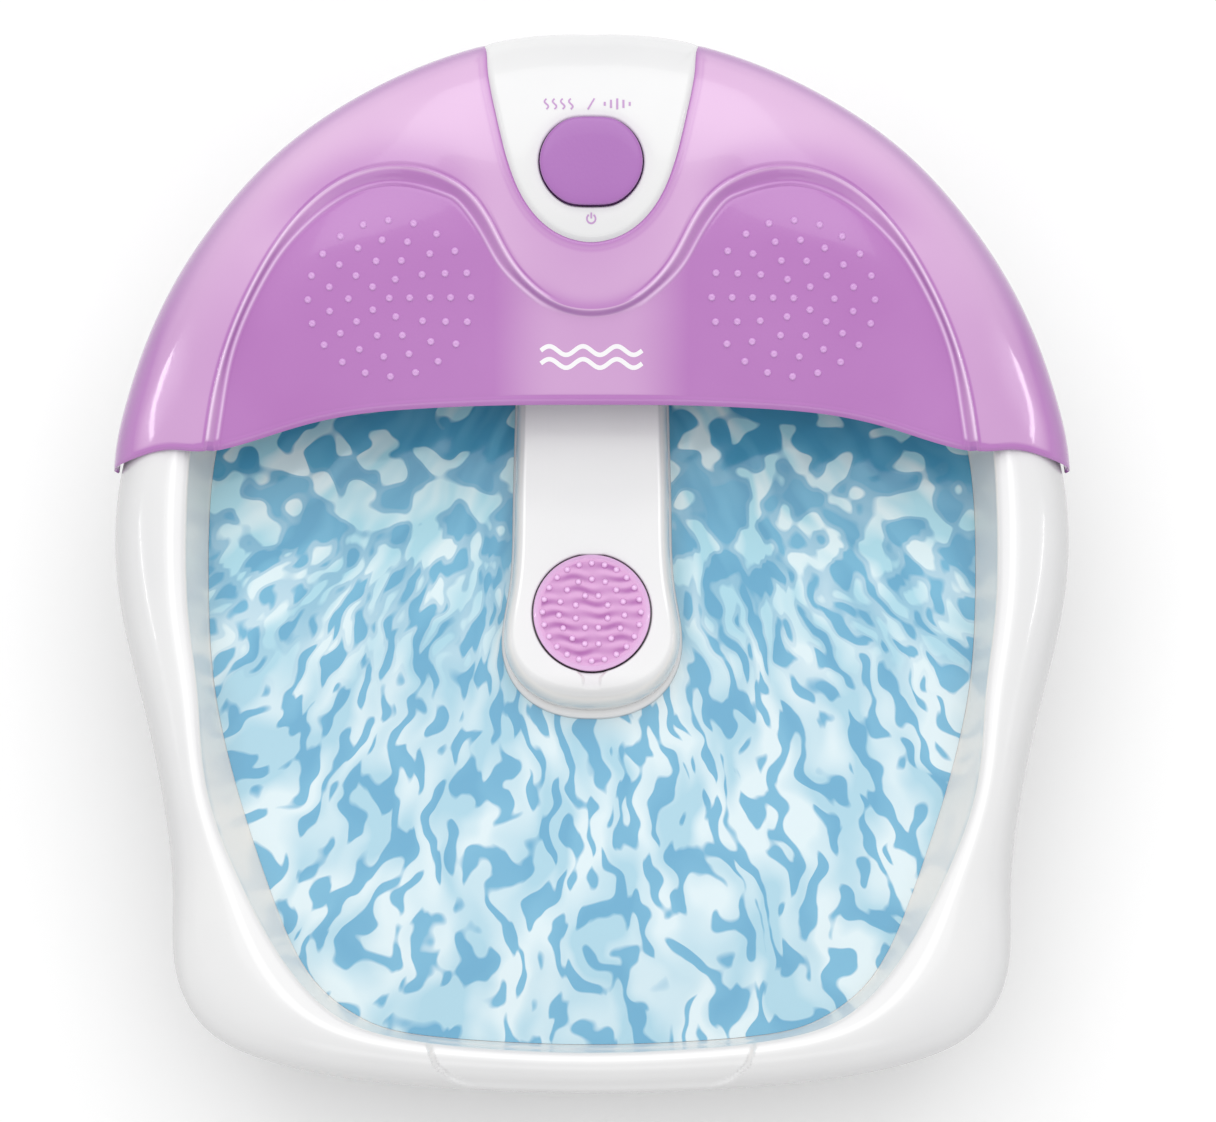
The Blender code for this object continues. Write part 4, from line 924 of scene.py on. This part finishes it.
def splash_guard():
    plan = guard_plan()
    rows, columns = plan.shape[:2]
    flat = plan.reshape(-1, 2)
    depth, tone, gleam = guard_relief(flat)
    points = at_height(flat, np.maximum(dome_height(*flat.T) - depth, GUARD_SEAM + 0.0004))
    faces = [(a, d, c, b) for a, b, c, d in loft_faces(rows, columns, False)]
    first = GUARD_ROWS[0]
    rim = points.reshape(rows, columns, 3)[first:, -1]
    towards = rim[:, :2] - (0.0, DOME_CENTRE_Y)
    towards = towards / np.linalg.norm(towards, axis=1)[:, None]
    count = rows - first
    above = [(first + i + 1) * columns - 1 for i in range(count)]
    for share in (0.1, 0.3, 0.6, 0.9, 0.97, 1.0):
        below = [len(points) + i for i in range(count)]
        height = GUARD_SEAM + (rim[:, 2] - GUARD_SEAM) * (1.0 - share)
        inset = SKIRT_DRAFT * (share if share < 1.0 else 2.0)
        points = np.vstack((points, at_height(rim[:, :2] - towards * inset, height)))
        faces.extend((above[i], above[i + 1], below[i + 1], below[i]) for i in range(count - 1))
        above = below
    # Painted shade: the steep skirt gets the darker tone.
    skirt_shade = np.full(len(points) - len(flat), 0.9)
    mesh = mesh_of("splash_guard_shell", points, faces)
    # Painted shade: darker where the guard turns edge-on to the camera.
    edge_on, _ = grazing(mesh, 0.78, 0.40)
    point_values(mesh, "tone", np.clip(np.concatenate((tone, skirt_shade)), 0.0, 1.0))
    point_values(mesh, "edge", 0.85 * edge_on)
    point_values(mesh, "gleam", np.concatenate((gleam, skirt_shade * 0.0)))
    item = add_object("splash_guard_shell", mesh, PURPLE)
    item.modifiers.new("weld", "WELD").merge_threshold = WELD_REACH
    half = item.modifiers.new("other_side", "MIRROR")
    half.use_clip = True
    half.merge_threshold = MIRROR_REACH
    solidify(item, GUARD_WALL)
    applied(item)
    smooth(item, 50.0)
    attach(item, "basin")
    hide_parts("splash_guard")


def rest_surface(x, y):
    """Height of the foot rests' surface."""
    return dome_height(x, y) - guard_relief(np.column_stack((np.abs(x), y)))[0]


NUB_CENTRE = (0.0755, 0.0986)
NUB_SPACING = 0.00765
NUB_RADIUS = 0.00145
NUB_PROFILE = ((0, 0.00062), (0.00025, 0.00062), (0.00050, 0.00070), (0.00075, 0.00074),
               (0.00100, 0.00062), (0.00122, 0.00038), (0.00138, 0.00010), (NUB_RADIUS, -0.00030),
               (0, -0.00030))


def foot_rest_nubs():
    """Rings of small dimpled nubs on both foot rests, each standing square to the surface."""
    places = [(0.0, 0.0)]
    for ring in range(1, 5):
        for i in range(5 * ring):
            turn = math.pi + i * 2.0 * math.pi / (5 * ring)
            places.append((math.cos(turn) * ring, math.sin(turn) * ring * 0.90))
    places = np.array(places) * NUB_SPACING + NUB_CENTRE
    step = 0.002
    height = rest_surface(places[:, 0], places[:, 1])
    rise_x = (rest_surface(places[:, 0] + step, places[:, 1]) - height) / step
    rise_y = (rest_surface(places[:, 0], places[:, 1] + step) - height) / step
    points, faces = turned_points(NUB_PROFILE, 20)
    shapes = []
    for side in (1.0, -1.0):
        for (x, y), z, slope_x, slope_y in zip(places, height, rise_x, rise_y):
            normal = Vector((-slope_x * side, -slope_y, 1.0)).normalized()
            turn = np.array(normal.to_track_quat("Z", "Y").to_matrix())
            shapes.append((points @ turn.T + (x * side, y, z), faces))
    item = several("foot_rest_nubs", shapes, NUB_PURPLE)
    smooth(item, 60.0)
    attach(item, "basin")


# ---------------------------------------------------------------- control panel and button

def panel_back_y(x):
    path = mirrored_path(GUARD_MM[:-4:-1])
    return spline(path[:, 1], path[:, 0], x) + PANEL_GAP


def button_angles():
    """Angles round the button's middle, from straight ahead of it."""
    return np.arange(PANEL_STATIONS) * 2.0 * math.pi / PANEL_STATIONS - math.pi / 2.0


def panel_outline():
    """Outline of the panel, seen from the button's middle at evenly spaced angles."""
    side = half_curve(NOTCH_MM, np.linspace(0.0, 1.0, 300))
    side = side + outward(side, False) * PANEL_GAP
    corner = np.array((side[-1, 0], panel_back_y(side[-1:, 0])[0]))
    radius = 0.0035
    turn = np.linspace(0.0, math.pi / 2.0, 12)
    bend = spokes_at(turn) * radius + corner - radius
    side = side[side[:, 1] < corner[1] - radius]
    x = np.linspace(corner[0] - radius, 0.0, 60)
    back = np.column_stack((x, panel_back_y(x)))
    half = np.vstack((side, bend, back))
    whole = np.vstack((half, half[-2:0:-1] * (-1.0, 1.0))) - (0.0, BUTTON_Y)
    angles = np.unwrap(np.arctan2(whole[:, 1], whole[:, 0]))
    order = np.argsort(angles)
    wanted = button_angles()
    radius = np.interp(wanted, angles[order], np.linalg.norm(whole, axis=1)[order], period=2.0 * math.pi)
    return spokes_at(wanted) * radius[:, None] + (0.0, BUTTON_Y)


def oval(grow):
    """Button outline: an oval cut straight across its top and bottom, with soft corners."""
    turn = button_angles()
    half_x, half_y = BUTTON_HALF[0] + grow, BUTTON_HALF[1] + grow
    across, along = np.cos(turn), np.sin(turn)
    round_one = np.hypot(across / half_x, along / (half_y * 1.075))
    flat_one = np.abs(along) / (half_y * 1.012)
    radius = (round_one ** OVAL_POWER + flat_one ** OVAL_POWER) ** (-1.0 / OVAL_POWER)
    return np.column_stack((across, along)) * radius[:, None]


def button_axis():
    axis = next(joint["axis"] for joint in frame["joints"] if joint["name"] == "button_press")
    return -Vector(axis).normalized()


def button_frame():
    """Matrix from the button's own frame, Z out of the panel, to the row frame."""
    up = button_axis()
    right = Vector((1.0, 0.0, 0.0))
    turn = Matrix((right, up.cross(right), up)).transposed().to_4x4()
    lift = float(panel_surface(np.zeros(1), np.array((BUTTON_Y,)))[0])
    return Matrix.Translation((0.0, BUTTON_Y, lift)) @ turn


def panel_surface(x, y):
    return dome_height(x, y) + PANEL_LIFT


def control_panel():
    outline = panel_outline()
    up = button_axis()
    tilt = math.atan2(-up.y, up.z)
    opening = oval(BUTTON_GAP) * (1.0, math.cos(tilt)) + (0.0, BUTTON_Y)
    span = np.linalg.norm(outline - opening, axis=1)
    direction = (outline - opening) / span[:, None]
    far = closed_line(outline, 900)
    steps = (0.0, 0.0001, 0.0003, 0.0006, 0.0010, 0.0016, 0.0024, 0.0034)
    ends = (0.0040, 0.0031, PANEL_ROLL, 0.0020, 0.0016, 0.0012, 0.0009, 0.0006, 0.0003, 0.0001, 0.0)
    rows = []

    def add_row(plan, drop):
        rows.append(at_height(plan, panel_surface(*plan.T) - drop))

    add_row(opening, PANEL_COLLAR)
    add_row(opening, 0.0009)
    for step in steps:
        lip = 0.0006 * np.clip(1.0 - step / 0.0006, 0.0, 1.0) ** 2
        add_row(opening + direction * step, PANEL_DISH * bell(step, 0.0030) + lip)
    for share in np.linspace(0.0, 1.0, 12)[1:-1]:
        plan = opening + direction * (steps[-1] + (span - ends[0] - steps[-1]) * share)[:, None]
        add_row(plan, PANEL_DISH * bell(np.linalg.norm(plan - opening, axis=1), 0.0030))
    for end in ends:
        plan = outline - direction * end
        add_row(plan, 0.0019 * np.clip(1.0 - distance_to(plan, far) / PANEL_ROLL, 0.0, 1.0) ** 2.3)
    edge = rows[-1]
    under = edge[:, 2] - PANEL_WALL
    low = np.where(edge[:, 1] > 0.1925, GUARD_SEAM, under)
    for share in (0.2, 0.6, 1.0):
        rows.append(at_height(edge[:, :2], edge[:, 2] + (low - edge[:, 2]) * share))
    for end, height in ((0.0, low), (0.0, under), (0.003, under)):
        rows.append(at_height(outline - direction * (PANEL_WALL + end), height))
    add_row(opening + direction * 0.0030, PANEL_COLLAR)
    count = len(outline)
    faces = loft_faces(len(rows), count, True)
    last = (len(rows) - 1) * count
    faces.extend((last + i, last + (i + 1) % count, (i + 1) % count, i) for i in range(count))
    mesh = mesh_of("control_panel_cover", np.vstack(rows), faces)
    mesh.flip_normals()
    item = add_object("control_panel_cover", mesh, WHITE)
    smooth(item, 50.0)
    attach(item, "basin")
    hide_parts("control_panel")


def power_button():
    levels = ((-0.0084, 0.0009), (-0.0068, 0.0009), (-0.0066, -0.0001), (-0.0010, -0.0001),
              (0.0006, -0.0001), (0.0011, -0.0003), (0.0014, -0.0006), (0.0016, -0.0011),
              (0.00175, -0.0020), (0.00185, -0.0040), (0.0019, -0.0070), (0.0019, -0.0110))
    place = np.array(button_frame())
    rings = [at_height(oval(grow), height) @ place[:3, :3].T + place[:3, 3] for height, grow in levels]
    item = lofted("power_button_cap", rings, BUTTON_PURPLE)
    smooth(item, 40.0)
    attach(item, "button")
    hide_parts("power_button")


# ---------------------------------------------------------------- printed marks

def ribbon(path, width, surface):
    """Closed strip along a plan path that lies on a surface."""
    path = np.asarray(path, dtype=float)
    side = outward(path, False) * width / 2.0
    left, right = path - side, path + side
    rows = []
    for plan in (left, right):
        height = surface(plan[:, 0], plan[:, 1])
        rows.append((at_height(plan, height + PRINT_LIFT), at_height(plan, height - PRINT_SINK)))
    (left_top, left_low), (right_top, right_low) = rows
    count = len(path)
    points = np.vstack((left_low, left_top, right_top, right_low))
    faces = []
    for i in range(count - 1):
        for a, b in ((0, count), (count, 2 * count), (2 * count, 3 * count), (3 * count, 0)):
            faces.append((a + i, b + i, b + i + 1, a + i + 1))
    faces.append(tuple(row * count for row in (3, 2, 1, 0)))
    faces.append(tuple(row * count + count - 1 for row in range(4)))
    return points, faces


def arc(centre, radius, start, end):
    return spokes_at(np.radians(np.linspace(start, end, 24))) * radius + centre


def wave(start, length, height, turns, upright=False, count=40):
    share = np.linspace(0.0, 1.0, count)
    along = share * length
    across = height / 2.0 * np.sin(share * turns * 2.0 * math.pi)
    pair = (across, along) if upright else (along, across)
    return np.column_stack(pair) + start


def panel_marks():
    """Heat and vibration signs above the button, and a power sign below it."""
    thin, thick = 0.0006, 0.00078
    y = 0.1655
    strokes = []
    for i in range(4):
        strokes.append((wave((-0.0165 + 0.0030 * i, y - 0.0019), 0.0038, 0.0014, 1.0, True), thin))
    strokes.append((((-0.0012, y - 0.0020), (0.0012, y + 0.0020)), thin))
    for i, tall in enumerate((0.0014, 0.0030, 0.0040, 0.0030, 0.0014)):
        x = 0.0050 + 0.0023 * i
        strokes.append((((x, y - tall / 2.0), (x, y + tall / 2.0)), thick))
    y = 0.1248
    strokes.append((arc((0.0, y), 0.0016, 125.0, 415.0), thin))
    strokes.append((((0.0, y + 0.0001), (0.0, y + 0.0021)), thin))
    shapes = [ribbon(path, width, panel_surface) for path, width in strokes]
    item = several("panel_marks", shapes, PRINT_LILAC)
    smooth(item, 30.0)
    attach(item, "basin")


def guard_mark():
    """Plain double wave printed on the guard."""
    shapes = [ribbon(wave((-0.0190, y), 0.038, 0.0030, 3.0, False, 90), 0.0016, rest_surface)
              for y in (0.0755, 0.0800)]
    item = several("guard_mark", shapes, PRINT_WHITE)
    smooth(item, 30.0)
    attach(item, "basin")


# ---------------------------------------------------------------- column and disc

def column_top(x, y):
    """Height of the cover's flat top, with the finger notch in front of the disc."""
    ahead = DISC_Y - WELL_RADIUS - y
    half = 0.0031 + 0.0024 * np.clip(1.0 - (ahead + 0.0004) / 0.0030, 0.0, 1.0) ** 2
    inside = smoothstep(0.0007, -0.0005, np.abs(x) - half)
    fade = smoothstep(0.0068, 0.0005, ahead) * (y < DISC_Y)
    return COLUMN_TOP - 0.0014 * inside * fade


def centre_column():
    outline = column_outline(0.0, COLUMN_REAR, 300)
    normal = outward(outline, False)
    centre = np.array((0.0, DISC_Y))
    inset = 0.0045 + 0.0035 * np.clip(-normal[:, 1], 0.0, 1.0) ** 1.5
    levels = (COLUMN_BOTTOM, COLUMN_BOTTOM + 0.0010, COLUMN_TOP - COLUMN_ROUND)
    rings = [at_height(outline, height) for height in levels]
    for turn in np.radians(np.linspace(6.0, 90.0, 21)):
        plan = outline - normal * (inset * (1.0 - math.cos(turn) ** 0.9))[:, None]
        plan[0, 1] = plan[-1, 1] = COLUMN_REAR
        notch = (COLUMN_TOP - column_top(*plan.T)) * math.sin(turn) ** 4
        rings.append(at_height(plan, COLUMN_TOP - COLUMN_ROUND * (1.0 - math.sin(turn) ** 0.9) - notch))
    spokes = rings[-1][:, :2] - centre
    reach = np.linalg.norm(spokes, axis=1)
    spokes = spokes / reach[:, None]
    for share in (0.10, 0.22, 0.34, 0.46, 0.56, 0.65, 0.73, 0.80, 0.86, 0.91, 0.95, 0.98, 1.0):
        plan = centre + spokes * (reach + (WELL_RADIUS + 0.0004 - reach) * share)[:, None]
        rings.append(at_height(plan, column_top(*plan.T)))
    top = column_top(*rings[-1][:, :2].T)
    shade = [np.zeros(len(outline)) for _ in rings]
    # Painted shade: the well round the disc is painted dark down its wall.
    well = ((0.00010, 0.0001, 0.1), (-0.0002, 0.0004, 0.9), (-0.0002, 0.0014, 1.0),
            (-0.0003, WELL_DEPTH, 1.0), (-0.0018, WELL_DEPTH, 1.0), (-0.0060, WELL_DEPTH, 0.4))
    for grow, drop, dark in well:
        plan = centre + spokes * (WELL_RADIUS + grow)
        rings.append(at_height(plan, np.minimum(top - drop, COLUMN_TOP - drop)))
        shade.append(np.full(len(outline), dark))
    mesh = lofted_mesh("column_cover", rings, False)
    points = np.vstack(rings)
    edge_on, normals = grazing(mesh, 0.99, 0.45)
    # Painted highlight lines along the top's side edges.
    side = smoothstep(0.75, 0.95, np.abs(normal[:, 0])) * smoothstep(-0.020, -0.004, outline[:, 1])
    sides = np.zeros((len(rings), len(outline)))
    sides[20:23] = side * np.array((0.3, 1.0, 1.0))[:, None]
    # Painted shade on the column's front end.
    front = 0.27 * edge_on * smoothstep(-0.1, -0.7, normals[:, 1])
    front = np.maximum(front, 0.19 * smoothstep(-0.036, -0.047, points[:, 1]))
    # Painted light on the flat top near the guard, against the guard's shadow.
    rear = smoothstep(0.030, 0.062, points[:, 1]) * (normals[:, 2] > 0.9)
    # The painted shade in the well is darkest at its front half.
    ring = smoothstep(0.45, -0.75, (points[:, 1] - DISC_Y) / WELL_RADIUS)
    shade = np.concatenate(shade)
    point_values(mesh, "shade", np.maximum(shade * (0.25 + 0.75 * ring), front))
    point_values(mesh, "gleam", np.clip(sides.ravel() + rear, 0.0, 1.0))
    # Painted light on the sloping sides: a lighter cream tint against the water's blue reflected light.
    point_values(mesh, "warm", 0.5 * smoothstep(0.85, 0.60, normals[:, 2]) * (shade < 0.05))
    item = add_object("column_cover", mesh, WHITE)
    solidify(item, COLUMN_WALL)
    applied(item)
    smooth(item, 40.0)
    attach(item, "basin")
    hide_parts("centre_column")


def disc_surface(x, y):
    """Top of the massage disc: a low crown with wavy ridges across it, inside a plain rim."""
    radius = np.hypot(x, y)
    crown = 0.0034 - 0.0016 * (radius / DISC_RADIUS) ** 2.2
    inside = smoothstep(0.0202, 0.0188, radius)
    swing = 0.00045 * np.sin(x * 520.0 + y * 150.0) + 0.0004 * np.sin(x * 260.0 - y * 90.0 + 1.3)
    ridge = np.sin((y + swing) * 2.0 * math.pi / 0.0047)
    ridge = ridge * (0.62 + 0.38 * np.sin(x * 340.0 + y * 260.0 + 0.6))
    return crown + 0.00024 * ridge * inside - 0.0003 * inside, ridge * inside


NUB_RINGS = ((0.0066, 8, 22.5), (0.0126, 15, 90.0), (0.0188, 24, 90.0))


def massage_disc():
    low = COLUMN_TOP - WELL_DEPTH + 0.0003
    count = 160
    circle = spokes_at(np.arange(count) * 2.0 * math.pi / count)
    rings, shade = [], []
    side = ((0.0205, low), (0.0217, low), (DISC_RADIUS, low + 0.0003), (DISC_RADIUS, COLUMN_TOP - 0.0002),
            (0.0223, COLUMN_TOP + 0.0006), (0.0220, COLUMN_TOP + 0.0010), (0.0214, COLUMN_TOP + 0.0013))
    for radius, height in side:
        rings.append(at_height(circle * radius, height))
        shade.append(np.zeros(count))
    for radius in np.concatenate((np.linspace(0.0209, 0.0182, 8), np.linspace(0.0176, 0.0008, 34))):
        plan = circle * radius
        rise, ridge = disc_surface(*plan.T)
        rings.append(at_height(plan, COLUMN_TOP + rise))
        # Painted shade in the valleys between the ridges.
        shade.append(np.clip(0.30 - 0.75 * ridge, 0.0, 1.0) * (radius < 0.0196))
    points = np.vstack(rings)
    faces = capped_faces(len(rings), count)
    # Painted highlight on the disc's rim.
    gleams = [0.75 * smoothstep(0.0203, 0.0212, np.hypot(points[:, 0], points[:, 1]))]
    nub = ((0, 0.00165), (0.00045, 0.00156), (0.00080, 0.00130), (0.00102, 0.00090), (0.00112, 0.00040),
           (0.00122, 0.0), (0.00132, -0.0005), (0, -0.0005))
    nub_points, nub_faces = turned_points(nub, 16)
    for radius, number, phase in NUB_RINGS:
        for i in range(number):
            turn = math.radians(phase) + i * 2.0 * math.pi / number
            place = np.array((math.cos(turn), math.sin(turn))) * radius
            rise, _ = disc_surface(*place[:, None])
            faces.extend(tuple(len(points) + j for j in face) for face in nub_faces)
            points = np.vstack((points, nub_points + (*place, COLUMN_TOP + float(rise[0]))))
            shade.append(np.zeros(len(nub_points)))
            # Painted highlight on the nubs' tops.
            gleams.append(smoothstep(0.0002, 0.0009, nub_points[:, 2]))
    points[:, 1] += DISC_Y
    mesh = mesh_of("massage_head", points, faces)
    point_values(mesh, "shade", np.concatenate(shade))
    point_values(mesh, "gleam", np.concatenate(gleams))
    item = add_object("massage_head", mesh, PINK)
    smooth(item, 50.0)
    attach(item, "disc")
    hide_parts("massage_disc")


# ---------------------------------------------------------------- water

def water():
    """Standing water with a lightly rippled surface, between the tub's wall and the plinth."""
    outer = closed_ring(WATER_MM, both_sides(np.linspace(0.0, LAST_STATION, 241)))
    outer = outer - outward(outer, True) * 0.0003
    rows = [at_height(outer, WATER_LEVEL - 0.0040)]
    for share in np.linspace(1.0, 0.02, 70):
        plan = outer * share
        x, y = plan[:, 0], plan[:, 1]
        ripple = (np.sin(x * 310.0 + 3.0 * np.sin(y * 60.0)) * np.sin(y * 170.0 + 2.0 * np.sin(x * 90.0))
                  + 0.6 * np.sin(x * 190.0 - y * 120.0 + 1.7))
        calm = smoothstep(1.0, 0.97, share)
        rows.append(at_height(plan, WATER_LEVEL - 0.0005 + 0.00022 * ripple * calm))
    item = lofted("water", rows, WATER)
    smooth(item, 60.0)
    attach(item, "basin")


# ---------------------------------------------------------------- camera and light

def camera():
    data = bpy.data.cameras.new("camera")
    data.lens = CAMERA_LENS
    data.sensor_width = 36.0
    data.clip_end = 20.0
    item = linked("camera", data)
    rise = math.radians(CAMERA_ELEVATION)
    back = Vector((0.0, -math.cos(rise), math.sin(rise)))
    item.location = Vector(CAMERA_AIM) + back * CAMERA_DISTANCE
    item.rotation_euler = (math.pi / 2.0 - rise, 0.0, 0.0)
    bpy.context.scene.camera = item


def area_light(name, place, size, power, aim=(0.0, 0.0, 0.1), along=(0.0, 1.0, 0.0)):
    """Rectangular light that faces a point, with its longer side along a direction."""
    data = bpy.data.lights.new(name, "AREA")
    data.shape = "RECTANGLE"
    data.size = size[0]
    data.size_y = size[1]
    data.energy = power
    item = linked(name, data)
    back = (Vector(place) - Vector(aim)).normalized()
    right = (Vector(along) - back * back.dot(Vector(along))).normalized()
    turn = Matrix((right, back.cross(right), back)).transposed()
    item.matrix_world = Matrix.Translation(place) @ turn.to_4x4()


def studio():
    scene = bpy.context.scene
    scene.view_settings.view_transform = "Standard"
    world = bpy.data.worlds.new("studio")
    scene.world = world
    world.use_nodes = True
    sky = world.node_tree.nodes["Background"].inputs
    sky["Color"].default_value = (1, 1, 1, 1)
    sky["Strength"].default_value = SKY_STRENGTH
    area_light("top", (0.0, 0.75, 2.5), (3.0, 3.0), 42.0)
    area_light("front", (0.0, -1.9, 1.0), (1.8, 0.6), 3.5, along=(1.0, 0.0, 0.0))
    for side in (-1.0, 1.0):
        area_light("tip", (side * 1.62, 0.035, 0.405), (0.50, 0.045), 1.0, (side * 0.168, 0.06, 0.125),
                   (0.0, 0.32, -0.27))
    look = Look("floor", 0.9)
    look.colour(look.two_tone(look.noise(3.0, 2.0), "#FAFAFA", "#FCFCFC"))
    mesh = mesh_of("floor", [(-4, -4, 0), (4, -4, 0), (4, 4, 0), (-4, 4, 0)], [(0, 1, 2, 3)])
    floor = add_object("floor", mesh, look)


paint_frame()
tub()
splash_guard()
foot_rest_nubs()
control_panel()
power_button()
panel_marks()
guard_mark()
centre_column()
massage_disc()
water()
camera()
studio()
